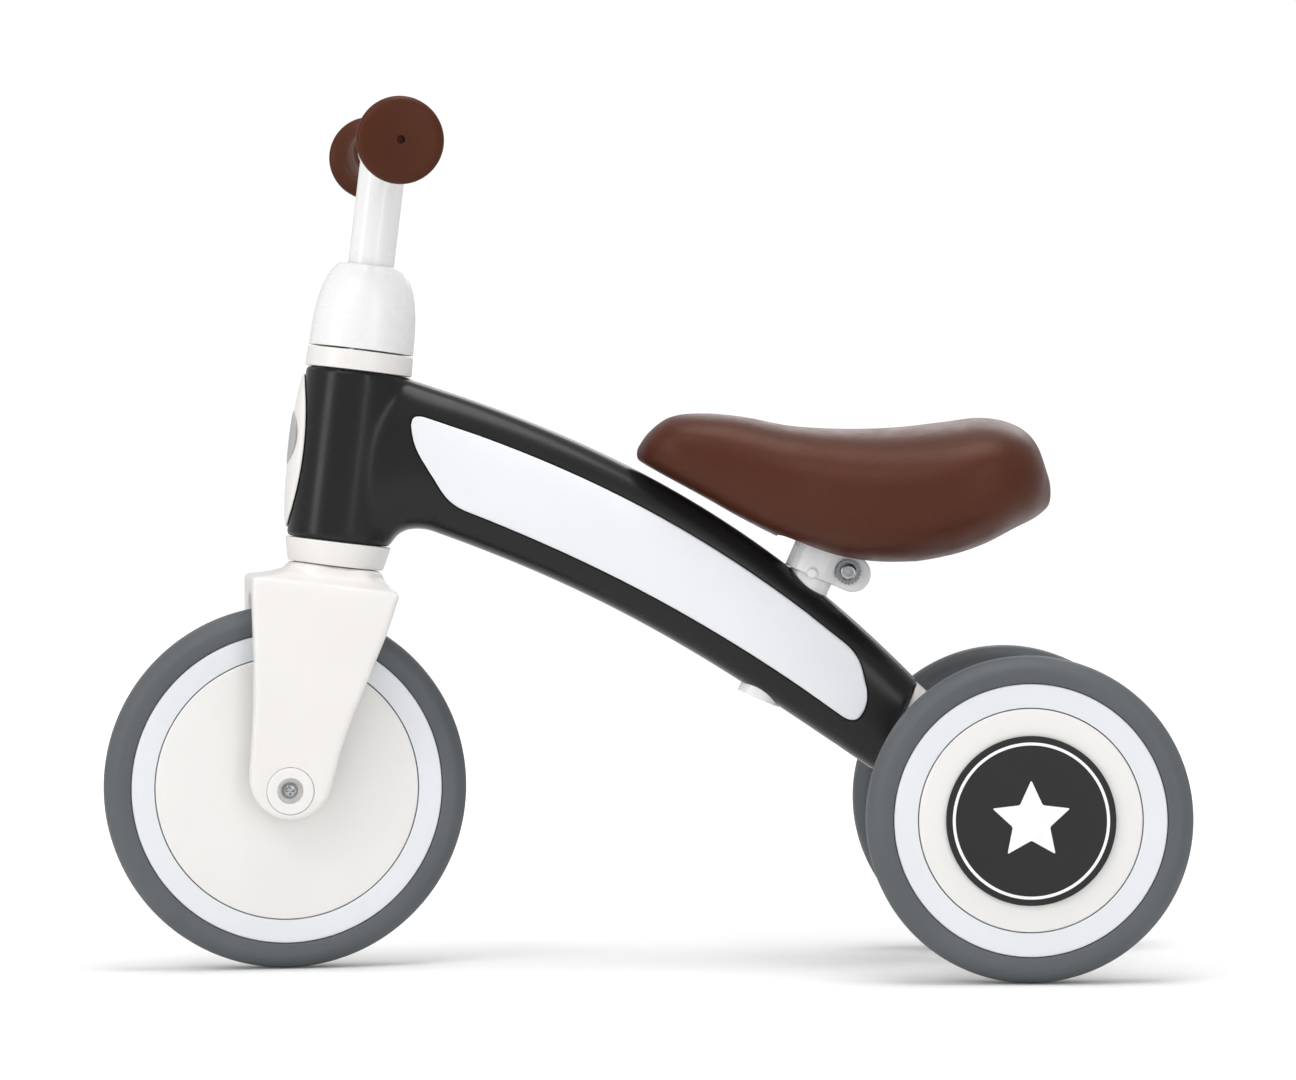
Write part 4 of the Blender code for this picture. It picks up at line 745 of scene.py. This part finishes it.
def oval_shell(name, half_angle, middle, half_height, back, front):
    """Oval plate bent round the head tube's front; back and front give its radii."""
    shape = bmesh.new()
    steps = 72
    rows = []
    shares = [0.0, 0.2, 0.4, 0.6, 0.75, 0.87, 0.95, 0.985, 1.0]
    levels = [(back, share) for share in shares] + [(front, share) for share in shares[::-1]]
    for surface, share in levels:
        row = []
        for k in range(steps):
            turn = 2 * pi * k / steps
            angle = half_angle * share * cos(turn)
            radius = surface(share)
            point = (radius * sin(angle), -radius * cos(angle),
                     middle + half_height * share * sin(turn))
            row.append(shape.verts.new(point))
            if share == 0:
                break
        rows.append(row)
    for row, following in zip(rows, rows[1:]):
        for k in range(steps):
            j = (k + 1) % steps
            corners = [row[k % len(row)], row[j % len(row)],
                       following[j % len(following)], following[k % len(following)]]
            if len(set(corners)) > 2:
                shape.faces.new(list(dict.fromkeys(corners)))
    return piece(name, shape, HEAD)


def badge():
    """White domed oval on the head tube, with a plain grey oval on it."""
    low, high, radius = reach("head_badge", HEAD)
    middle, half_height = (low + high) / 2, (high - low) / 2
    start = HEAD_RADIUS + 0.0005
    rim_radius = HEAD_RADIUS + 0.0009
    lift = radius - rim_radius
    half_angle = radians(36)

    def dome(share):
        """Radius of the badge's front, by the share of the way to its edge."""
        return rim_radius + lift * max(0.0, 1 - share * share) ** 0.6

    thing = oval_shell("badge_oval", half_angle, middle, half_height, lambda share: start, dome)
    fitted(thing, "frame", WARM_WHITE, "warm_white", "head_badge")
    low, high, _ = reach("badge_emblem", HEAD)
    shift = ((low + high) / 2 - middle) / half_height
    size = (high - low) / 2
    inset = size / half_height

    def emblem_back(share):
        """Radius of the emblem's back, a little inside the badge."""
        return dome(shift + share * inset) - 0.0004

    def emblem_front(share):
        """Radius of the emblem's front, a little proud of the badge."""
        return dome(min(1, abs(shift) + share * inset) * 0.86) + 0.0006 - 0.0004 * share**8

    print_oval = oval_shell("badge_print", radians(28), (low + high) / 2, size, emblem_back,
                            emblem_front)
    fitted(print_oval, "frame", EMBLEM_GREY, "emblem_grey", "badge_emblem")


# ---- Main frame and panels -----------------------------------------------------------
BEAM_HALF_WIDTH = 0.0230
BEAM_POWERS = (2.6, 2.6)           # squareness of its section, below and above
BEAM_SECTIONS = 60
RING_POINTS = 96                   # of each section of the beam and of the saddle
BEAM_END_TOP = (-0.0521, 0.0673)
BEAM_END_BOTTOM = (-0.0741, 0.0193)
BEAM_TOP_BOW = ((0.40, 0.211), (0.698, 0.481))
BEAM_BOTTOM_BOW = ((0.439, 0.2855), (0.662, 0.575))
COLLAR_ROOM = 0.0151               # radius of the beam's relief round the clamp
PANEL_DEPTH = 0.0060
PANEL_REAR = 0.93
SPIGOT_SHARE = 0.52                # of the beam's depth at its end
SPIGOT_LENGTH = 0.0340
SPIGOT_HALF_WIDTH = 0.0120
SCREW_HEAD = 0.0030
SCREW_SHANK = 0.0025


def head_point(y, height):
    """Point of the YZ plane from its place across and along the steering axis."""
    point = HEAD @ Vector((0, y, height))
    return (point.y, point.z)


def beam_curves():
    """Upper and lower edge of the beam in Y and Z, from the head tube to its end."""
    starts = (head_point(HEAD_RADIUS - 0.0012, HEAD_TOP - 0.0006),
              head_point(HEAD_RADIUS + 0.0184, HEAD_BOTTOM + 0.0117))
    curves = []
    for start, end, bow in zip(starts, (BEAM_END_TOP, BEAM_END_BOTTOM),
                               (BEAM_TOP_BOW, BEAM_BOTTOM_BOW)):
        last = (REAR_AXLE.y + end[0], REAR_AXLE.z + end[1])
        inner = [(mixed(start[0], last[0], across), mixed(start[1], last[1], down))
                 for across, down in bow]
        curves.append([start, *inner, last])
    return curves


BEAM_CURVES = beam_curves()


def beam_point(along, across):
    """Point of the YZ plane: along from 0 to 1, across from -1, the bottom, to 1, the top."""
    high = bezier(BEAM_CURVES[0], along)
    low = bezier(BEAM_CURVES[1], along)
    return low + (high - low) * (across + 1) / 2


def oval_ring(low, high, half_width, powers):
    """Superelliptic section across X between two points of the YZ plane."""
    centre = Vector((0, *((Vector(low) + Vector(high)) / 2)))
    half = Vector((0, *((Vector(high) - Vector(low)) / 2)))
    points = []
    for k in range(RING_POINTS):
        angle = 2 * pi * (k + 0.5) / RING_POINTS
        power = 2 / (powers[0] if sin(angle) < 0 else powers[1])
        up = copysign(abs(sin(angle)) ** power, sin(angle))
        across = copysign(abs(cos(angle)) ** power, cos(angle))
        points.append(centre + half * up + X_AXIS * half_width * across)
    return points


def beam_rings(half_width):
    """Sections of the beam, from inside the head tube to its end."""
    # low side: place and rise; high side: place and drop
    root = [
        (0.0110, 0.0050, 0.0060, 0.0045),
        (HEAD_RADIUS + 0.0002, 0.0015, HEAD_RADIUS - 0.0103, 0.0018),
        (HEAD_RADIUS + 0.0020, 0.0050, HEAD_RADIUS - 0.0085, 0.0016),
        (HEAD_RADIUS + 0.0037, 0.0075, HEAD_RADIUS - 0.0068, 0.0014),
        (HEAD_RADIUS + 0.0068, 0.0099, HEAD_RADIUS - 0.0054, 0.0012),
        (HEAD_RADIUS + 0.0107, 0.0112, HEAD_RADIUS - 0.0040, 0.0010),
    ]
    edges = [(head_point(low_y, HEAD_BOTTOM + rise), head_point(high_y, HEAD_TOP - drop))
             for low_y, rise, high_y, drop in root]
    for k in range(BEAM_SECTIONS):
        along = k / (BEAM_SECTIONS - 1)
        edges.append((beam_point(along, -1), beam_point(along, 1)))
    return [oval_ring(low, high, half_width, BEAM_POWERS) for low, high in edges]


def panel_outline():
    """Side panel in Y and Z, keeping a margin to the beam's edges."""
    def edge(along, upper):
        """Point of the panel's upper or lower edge."""
        length = (beam_point(along, 1) - beam_point(along, -1)).length
        if upper:
            return beam_point(along, 1 - 2 * (0.018 - 0.008 * along**3) / length)
        margin = 0.0165 + 0.002 * (1 - along) ** 4 - 0.003 * along**6
        return beam_point(along, 2 * margin / length - 1)

    corner = 0.009
    stations = [PANEL_REAR * k / 24 for k in range(3, 22)]
    corners = [(*edge(0.05, False), corner)]
    corners += [(*edge(along, False), 0) for along in stations]
    corners += [(*edge(PANEL_REAR, False), corner),
                (*beam_point(PANEL_REAR + 0.008, 0.05), corner),
                (*edge(PANEL_REAR - 0.04, True), corner)]
    corners += [(*edge(along, True), 0) for along in reversed(stations[:-1])]
    corners += [(*edge(0.0, True), corner), (*beam_point(-0.002, 0.1), corner)]
    return rounded(corners, 10)


def blended(thing, weigh, rounds):
    """Relaxes a mesh where a weight function says so."""
    where = thing.vertex_groups.new(name="blend")
    for vertex in thing.data.vertices:
        where.add([vertex.index], weigh(vertex.co), "REPLACE")
    smooth = thing.modifiers.new("blend", "SMOOTH")
    smooth.factor = 0.5
    smooth.iterations = rounds
    smooth.vertex_group = "blend"
    settle(thing)
    thing.vertex_groups.clear()


def near_root(point):
    """1 where the beam leaves the head tube, fading to 0 round it."""
    local = HEAD.inverted() @ point
    margin = min(local.z - HEAD_BOTTOM, HEAD_TOP - local.z)
    behind = min(local.y - 0.008, 0.052 - local.y)
    return min(1.0, max(0.0, min(margin / 0.010, behind / 0.008)))


def carrier_room():
    """Cutters for the axle carrier's spigot in the beam's end, and for its two screws."""
    top, bottom = Vector(BEAM_END_TOP), Vector(BEAM_END_BOTTOM)
    up = (top - bottom).normalized()
    inwards = Vector((-up.y, up.x))
    middle = REAR_AXLE.yz + (top + bottom) / 2
    half = (top - bottom).length / 2 * SPIGOT_SHARE + GAP
    deep, wide = SPIGOT_LENGTH + GAP, SPIGOT_HALF_WIDTH + GAP
    corners = ((-0.02, half), (-0.02, -half), (deep, -half), (deep, half))
    outline = [middle + inwards * x + up * y for x, y in corners]
    tools = [extruded("spigot_room", outline, -wide, wide, SIDE)]
    for number in ("1", "2"):
        screw = "carrier_screw_" + number
        points = [vertex.co for vertex in NODES[screw].data.vertices]
        place = facing(sum(points, Vector()) / len(points), (0, *up), X_AXIS)
        low, high, head = reach(screw, place)
        shank = SCREW_SHANK + GAP
        tools.append(turned("screw_room", [
            (0, low - 0.015), (head + GAP, low - 0.015), (head + GAP, low + SCREW_HEAD + GAP),
            (shank, low + SCREW_HEAD + GAP), (shank, high + GAP), (0, high + GAP)], place, 40))
    return tools


def main_frame():
    """Head tube and beam in one moulding, with its bores, pockets and the carrier's room."""
    outline = panel_outline()
    body = turned("main_frame_shell", rounded([
        (0, HEAD_BOTTOM, 0), (HEAD_RADIUS, HEAD_BOTTOM, 0.0012), (HEAD_RADIUS, HEAD_TOP, 0.0012),
        (0, HEAD_TOP, 0)], 5), HEAD)
    carved(body, lofted("beam", beam_rings(BEAM_HALF_WIDTH)), operation="UNION")
    moulded(body, 0.0011, 16)
    blended(body, near_root, 110)
    sleeve = reach("seat_tube_sleeve", SEAT)[2]
    clamp_low = reach("seat_clamp_collar", SEAT)[0]
    floor = BEAM_HALF_WIDTH - PANEL_DEPTH
    pocket = grown(outline, GAP + 0.0002)
    carved(body,
           bore("head_bore", HEAD_BORE, HEAD_BOTTOM - 0.01, HEAD_TOP + 0.01, HEAD),
           bore("seat_bore", sleeve + GAP, -0.09, 0.09, SEAT),
           bore("collar_room", COLLAR_ROOM, clamp_low - GAP, 0.09, SEAT),
           extruded("pocket_left", pocket, floor, 0.05, SIDE),
           extruded("pocket_right", pocket, -0.05, -floor, SIDE),
           *carrier_room())
    fitted(body, "frame", FRAME_BLACK, "frame_black", "main_frame")


def panels():
    """White inlays that fill the beam's side pockets, flush with its skin."""
    outline = grown(panel_outline(), -0.0002)
    low = BEAM_HALF_WIDTH - PANEL_DEPTH + GAP
    for side, span in (("left", (low, 0.05)), ("right", (-0.05, -low))):
        panel = extruded("panel_" + side, outline, *span, SIDE)
        skin = lofted("skin", beam_rings(BEAM_HALF_WIDTH + GAP))
        carved(panel, skin, operation="INTERSECT")
        moulded(panel, 0.0007, 4)
        fitted(panel, "frame", PANEL_WHITE, "panel_white", "side_panel_" + side)


# ---- Fork ----------------------------------------------------------------------------
LEG_FACES = (0.0196, 0.0329)       # inner and outer, from the wheel's middle


def fork():
    """Fork with soft moulded edges; its axle bores stay crisp."""
    thing = copied("fork_moulding", "fork")
    insert = reach("fork_insert_left", FRONT_WHEEL)[2]
    inner, outer = LEG_FACES
    plugs = [bore("plug", insert + 0.0006, low, high, FRONT_WHEEL, 40)
             for low, high in ((inner, outer), (-outer, -inner))]
    steerer_low, _, steerer = reach("steerer_tube", STEERING)
    crown = reach("fork", STEERING)[1]
    plugs.append(bore("plug", steerer + 0.0006, steerer_low, crown - 0.0001, STEERING, 40))
    carved(thing, *plugs, operation="UNION")
    moulded(thing, 0.0011, 34)
    carved(thing, bore("axle_bore", insert + 0.0002, -0.05, 0.05, FRONT_WHEEL),
           bore("steerer_bore", steerer + 0.0002, steerer_low - 0.004, crown + 0.01, STEERING))
    fitted(thing, "steering", WARM_WHITE, "warm_white", "fork")


def cross_recess(place, radius, top, depth):
    """Two crossed wedges that cut a screw's drive."""
    tools = []
    for turn in (0, pi / 2):
        half, thin = radius * 0.62, radius * 0.13
        outline = [(-half, top + 0.001), (-half * 0.55, top - depth),
                   (half * 0.55, top - depth), (half, top + 0.001)]
        spin = place @ Matrix.Rotation(turn, 4, "Z") @ Matrix.Rotation(pi / 2, 4, "X")
        tools.append(extruded("drive", outline, -thin, thin, spin))
    return tools


def pan_screw(name, node, place, body):
    """Pan-head screw with a crossed drive, on the place's axis."""
    low, high, radius = reach(node, place)
    head = high - 0.0028
    thing = turned(name, rounded([
        (0, low, 0), (SCREW_SHANK, low, 0.0005), (SCREW_SHANK, head, 0), (radius, head, 0.0003),
        (radius, head + 0.0012, 0.0009), (radius * 0.62, high, 0.0018), (0, high, 0),
    ], 6), place, 64)
    carved(thing, *cross_recess(place, radius, high, 0.0017))
    fitted(thing, body, ZINC, "steel", node)


def fork_fittings():
    """Round insert and axle screw in each leg."""
    for side, place in (("left", FRONT_WHEEL), ("right", FRONT_WHEEL_FAR)):
        low, high, radius = reach("fork_insert_" + side, place)
        shelf = high - 0.0059
        insert = turned("axle_insert_" + side, rounded([
            (0.0028, low, 0), (radius, low, 0.0002), (radius, high, 0.0007),
            (0.0068, high, 0.0006), (0.0066, shelf, 0.0004), (0.0028, shelf, 0)], 5), place, 96)
        fitted(insert, "steering", DISC_WHITE, "disc_plastic", "fork_insert_" + side)
        pan_screw("axle_screw_" + side, "front_axle_screw_" + side, place, "steering")


# ---- Handlebar and grips -------------------------------------------------------------
STEM_RADIUS = 0.01215
STEM_BORE = 0.0098
STEM_DROP = 0.0135                 # of the stem's end below the cross bar's top
BAR_RADIUS = 0.0120
BAR_BORE = 0.0100
GRIP_SIDES = 24                    # of the solid's circle
GRIP_RADIUS = 0.0144
GRIP_BORE = 0.0123
GRIP_END_WALL = 0.0037
GRIP_RIBS = 8
GRIP_RIB_PITCH = 0.0046


def handlebar():
    """Stem and cross bar in one, hollow; gives the frame along the cross bar."""
    low, high, _ = reach("handlebar", STEERING)
    middle = STEERING @ Vector((0, 0, high - BAR_RADIUS))
    across = facing(middle, FRONT_SPIN["axis"], STEER["axis"])
    ends = reach("handlebar", across)
    stem = turned("handlebar_weldment", rounded([
        (0, low, 0), (STEM_RADIUS, low, 0.0004), (STEM_RADIUS, high - STEM_DROP, 0),
        (0, high - STEM_DROP, 0),
    ], 3), STEERING, 96)
    bar = turned("bar", rounded([
        (0, ends[0], 0), (BAR_RADIUS, ends[0], 0.0005), (BAR_RADIUS, ends[1], 0.0005),
        (0, ends[1], 0),
    ], 3), across, 96)
    carved(stem, bar, operation="UNION")
    moulded(stem, 0.0009, 5)
    carved(stem, bore("stem_bore", STEM_BORE, low - 0.002, high - 0.016, STEERING),
           bore("bar_bore", BAR_BORE, ends[0] - 0.002, ends[1] + 0.002, across))
    fitted(stem, "steering", STEEL_WHITE, "steel_white", "handlebar")
    return across


def grip_corners(start, end, flange):
    """Outline of a mushroom-ended grip with ribs round its barrel."""
    barrel = GRIP_RADIUS
    corners = [(GRIP_BORE, start, 0), (barrel - 0.0014, start, 0.0010),
               (barrel, start + 0.0026, 0.0012)]
    for k in range(GRIP_RIBS):
        here = start + 0.0060 + GRIP_RIB_PITCH * k
        corners += [(barrel, here, 0.0004), (barrel - 0.0007, here + 0.0006, 0.0003),
                    (barrel - 0.0007, here + 0.0014, 0.0003), (barrel, here + 0.0020, 0.0004)]
    corners += [
        (barrel, end - 0.0130, 0.0030), (flange - 0.0030, end - 0.0076, 0.0030),
        (flange, end - 0.0058, 0.0022), (flange - 0.0004, end - 0.0026, 0.0020),
        (flange - 0.0045, end - 0.0008, 0.0030), (0.0060, end - 0.0001, 0.0030),
        (0.0021, end, 0.0004), (0.0021, end - 0.0031, 0), (0, end - 0.0031, 0),
        (0, end - GRIP_END_WALL, 0), (GRIP_BORE, end - GRIP_END_WALL, 0),
    ]
    return corners


def grips(across):
    """Grip on each end of the cross bar, whose frame is given."""
    for side, place in (("left", across), ("right", across @ Matrix.Rotation(pi, 4, "X"))):
        low, high, flange = reach("grip_" + side, place)
        flange = inside_flats(flange, GRIP_SIDES)
        outline = rounded(grip_corners(low, high, flange), 5)
        grip = turned("handle_grip_" + side, outline, place)
        fitted(grip, "steering", GRIP_RUBBER, "grip_rubber", "grip_" + side)


# ---- Seat tube, clamp and saddle -----------------------------------------------------
BOLT_SIDES = 16                    # of the solid's circle
BOLT_SHANK = 0.0030
HEXAGON_RADIUS = 0.0024
SLEEVE_SIDES = 24                  # of the solid's circle
SLEEVE_BORE = 0.0095
SLIT_HALF_WIDTH = 0.0015
BOSS_RADIUS = 0.0028
BOSS_REACH = (0.0130, 0.0162)      # from the tube's axis


def clamp_bolt():
    """Button-head bolt with a hexagon socket."""
    place = facing(middle_of("seat_clamp_bolt"), X_AXIS, SEAT_UP)
    low, high, radius = reach("seat_clamp_bolt", place)
    radius = inside_flats(radius, BOLT_SIDES)
    head = high - 0.0034
    bolt = turned("clamp_bolt", rounded([
        (0, low, 0), (BOLT_SHANK, low, 0.0004), (BOLT_SHANK, head, 0), (radius, head, 0.0002),
        (radius, head + 0.0016, 0.0012), (radius * 0.80, high, 0.0008), (0, high, 0),
    ], 5), place, 64)
    carved(bolt, bore("socket", HEXAGON_RADIUS, high - 0.0027, high + 0.002, place, 6))
    fitted(bolt, "frame", ZINC, "steel", "seat_clamp_bolt")


def seat_clamp():
    """Split sleeve, and the collar that closes it, with a small boss on the left."""
    low, high, radius = reach("seat_tube_sleeve", SEAT)
    radius = inside_flats(radius, SLEEVE_SIDES)
    sleeve = turned("seat_sleeve", rounded([
        (SLEEVE_BORE, low, 0.0003), (radius, low, 0.0005), (radius, high, 0.0005),
        (SLEEVE_BORE, high, 0.0003)], 4), SEAT, 96)
    clamp_low, clamp_high, _ = reach("seat_clamp_collar", SEAT)
    bottom, top = clamp_low - 0.01, clamp_high + 0.01
    slit = [(0, bottom), (0.04, bottom), (0.04, top), (0, top)]
    carved(sleeve, extruded("slit", slit, -SLIT_HALF_WIDTH, SLIT_HALF_WIDTH, SEAT @ SIDE))
    fitted(sleeve, "frame", STEEL_WHITE, "steel_white", "seat_tube_sleeve")
    collar = copied("seat_clamp_band", "seat_clamp_collar")
    boss_place = SEAT @ Matrix.Translation((0, -0.0004, clamp_low + 0.0014)) @ SIDE
    root, tip = BOSS_REACH
    boss = turned("boss", rounded([(0, root, 0), (BOSS_RADIUS, root, 0),
                                   (BOSS_RADIUS, tip, 0.0009), (0, tip, 0)], 4), boss_place, 32)
    carved(collar, boss, operation="UNION")
    moulded(collar, 0.00045, 8)
    fitted(collar, "frame", COVER_WHITE, "cover_white", "seat_clamp_collar")
    clamp_bolt()


SADDLE_POWERS = (3.0, 2.3)
SADDLE_SECTIONS = 90
# share of the length from nose to tail, bottom, top, half width
SADDLE_STATIONS = [
    (0.000, 0.0345, 0.0395, 0.0060),
    (0.028, 0.0307, 0.0482, 0.0200),
    (0.080, 0.0244, 0.0564, 0.0300),
    (0.157, 0.0153, 0.0585, 0.0350),
    (0.260, 0.0027, 0.0566, 0.0390),
    (0.370, -0.0090, 0.0519, 0.0450),
    (0.495, -0.0180, 0.0501, 0.0550),
    (0.625, -0.0206, 0.0506, 0.0640),
    (0.750, -0.0170, 0.0535, 0.0690),
    (0.838, -0.0110, 0.0555, 0.0680),
    (0.915, -0.0025, 0.0519, 0.0610),
    (0.966, 0.0030, 0.0426, 0.0480),
    (1.000, 0.0088, 0.0235, 0.0230),
]


def saddle():
    """Crowned foam saddle in one skin, hollow underneath round its base."""
    low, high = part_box("saddle")
    lift = high.z - max(top for _, _, top, _ in SADDLE_STATIONS)
    rings = []
    for k in range(SADDLE_SECTIONS + 1):
        share = (1 - cos(pi * k / SADDLE_SECTIONS)) / 2
        bottom, top, width = through(SADDLE_STATIONS, share)
        y = mixed(low.y, high.y, share)
        rings.append(oval_ring((y, lift + bottom), (y, lift + top), width, SADDLE_POWERS))
    thing = lofted("saddle_cushion", rings)
    moulded(thing, 0.0014, 16)
    base_low, base_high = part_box("saddle_base")
    wide, front, back = base_high.x + 0.0010, base_low.y - 0.0010, base_high.y + 0.0010
    hollow = rounded([(-wide, front, 0.012), (wide, front, 0.012), (wide, back, 0.012),
                      (-wide, back, 0.012)], 6)
    carved(thing, extruded("hollow", hollow, base_low.z - 0.03, base_high.z + GAP, Matrix()))
    fitted(thing, "seat", SADDLE_SKIN, "saddle_skin", "saddle")


# ---- Carried-over nodes --------------------------------------------------------------
def carried_over():
    """Nodes whose solid is already right get their finish here."""
    finishes = {
        STEEL: ["steerer_tube", "stem_lock_screw", "front_axle", "seat_post", "rear_axle",
                "axle_washer_left", "axle_washer_right", "axle_nut_left", "axle_nut_right",
                "seat_clamp_nut", "carrier_screw_1", "carrier_screw_2",
                "saddle_screw_1", "saddle_screw_2"],
        DARK_STEEL: ["seat_clamp_washer"],
        NYLON: ["hub_spacer_left", "hub_spacer_right", "front_hub_bush_left",
                "front_hub_bush_right", "rear_inner_bush_left", "rear_inner_bush_right",
                "rear_outer_bush_left", "rear_outer_bush_right"],
        BASE_BLACK: ["saddle_base"],
    }
    for material, nodes in finishes.items():
        for node in nodes:
            NODES[node].data.materials.clear()
            NODES[node].data.materials.append(material)


def rear_carrier():
    """White arm with the tube that carries the rear axle."""
    thing = copied("axle_carrier_moulding", "rear_axle_carrier")
    moulded(thing, 0.0010, 6)
    fitted(thing, "frame", WARM_WHITE, "warm_white", "rear_axle_carrier")


# ---- Studio --------------------------------------------------------------------------
FLOOR_HALF_SIDE = 12.0
FLOOR_DROP = 0.0002                # keeps the floor clear of the tyres
# name: place, aim, width, height, watts
LIGHTS = {
    "key": ((1.6, -1.1, 1.9), (0, 0, 0.2), 1.2, 0.8, 10.0),
    "top": ((0.25, 0.15, 2.2), (0, 0, 0.1), 1.3, 1.3, 22.0),
    "strip_front": ((1.2, -1.9, 0.7), (0, -0.15, 0.25), 0.55, 1.4, 9.0),
    "strip_side": ((1.9, 0.9, 0.8), (0, 0, 0.25), 0.5, 1.4, 6.5),
    "fill": ((-1.9, 0.5, 1.3), (0, 0, 0.2), 1.2, 1.0, 7.0),
}
CAMERA_PLACE = (2.340, 0.0274, 0.238)
CAMERA_TURN = (0.54, 0.35, -0.24)  # yaw, pitch down and roll, degrees
CAMERA_LENS = 123.67               # millimetres, over a 36 mm sensor


def paper_floor():
    """Wide pale floor that brightens into the surround."""
    shape = bmesh.new()
    bmesh.ops.create_grid(shape, x_segments=1, y_segments=1, size=FLOOR_HALF_SIDE)
    floor = piece("floor", shape, Matrix.Translation((0, 0, -FLOOR_DROP)))
    material, wires, shader = opened("floor_paper")
    toned = placed_group(wires, TONE_DRIFT, Colour=(0.92, 0.92, 0.92, 1), Amount=0.004, Scale=2.0)
    wires.feed(shader, "Base Color", toned["Colour"])
    # a camera sees the paper brighten away from the trike
    where = wires.add("ShaderNodeTexCoord").outputs["Object"]
    away = wires.add("ShaderNodeVectorMath", {"operation": "LENGTH"})
    wires.feed(away, "0", where)
    lift = wires.spread(away.outputs["Value"], 0.3, 2.0, 0.06, 0.50)
    seen = wires.add("ShaderNodeLightPath").outputs["Is Camera Ray"]
    wires.feed(shader, "Emission Strength", wires.maths("MULTIPLY", seen, lift))
    shader.inputs["Emission Color"].default_value = (1, 1, 1, 1)
    shader.inputs["Roughness"].default_value = 0.9
    shader.inputs["Specular IOR Level"].default_value = 0.1
    floor.data.materials.append(material)


def surround():
    """White world that lights softly and is seen brighter."""
    world = bpy.data.worlds.new("surround")
    bpy.context.scene.world = world
    world.use_nodes = True
    backdrop = Wiring(world.node_tree)
    ray = backdrop.add("ShaderNodeLightPath").outputs["Is Camera Ray"]
    strength = backdrop.spread(ray, 0, 1, 0.58, 1.05)
    glow = backdrop.add("ShaderNodeBackground", Color=(1, 1, 1, 1), Strength=strength)
    backdrop.add("ShaderNodeOutputWorld", Surface=glow.outputs[0])


def lamps():
    """Broad soft lights."""
    for name, (place, aim, width, height, power) in LIGHTS.items():
        light = bpy.data.lights.new(name, "AREA")
        light.shape = "RECTANGLE"
        light.size, light.size_y = width, height
        light.energy = power
        thing = bpy.data.objects.new(name, light)
        bpy.context.scene.collection.objects.link(thing)
        direction = Vector(aim) - Vector(place)
        thing.location = place
        thing.rotation_euler = direction.to_track_quat("-Z", "Y").to_euler()


def camera():
    """Long lens, almost square on to the left side."""
    data = bpy.data.cameras.new("camera")
    data.sensor_width = 36
    data.lens = CAMERA_LENS
    thing = bpy.data.objects.new("camera", data)
    bpy.context.scene.collection.objects.link(thing)
    yaw, pitch, roll = (radians(angle) for angle in CAMERA_TURN)
    ahead = Vector((-cos(pitch) * cos(yaw), -cos(pitch) * sin(yaw), -sin(pitch)))
    right = ahead.cross(Vector((0, 0, 1))).normalized()
    up = right.cross(ahead)
    turn = Matrix((right, up, -ahead)).transposed() @ Matrix.Rotation(roll, 3, "Z")
    thing.matrix_world = Matrix.Translation(CAMERA_PLACE) @ turn.to_4x4()
    bpy.context.scene.camera = thing
    bpy.context.scene.view_settings.view_transform = "Standard"


# ---- The trike -----------------------------------------------------------------------
wheels()
cups_and_bell()
badge()
main_frame()
panels()
fork()
fork_fittings()
grips(handlebar())
seat_clamp()
saddle()
rear_carrier()
carried_over()
paper_floor()
surround()
lamps()
camera()
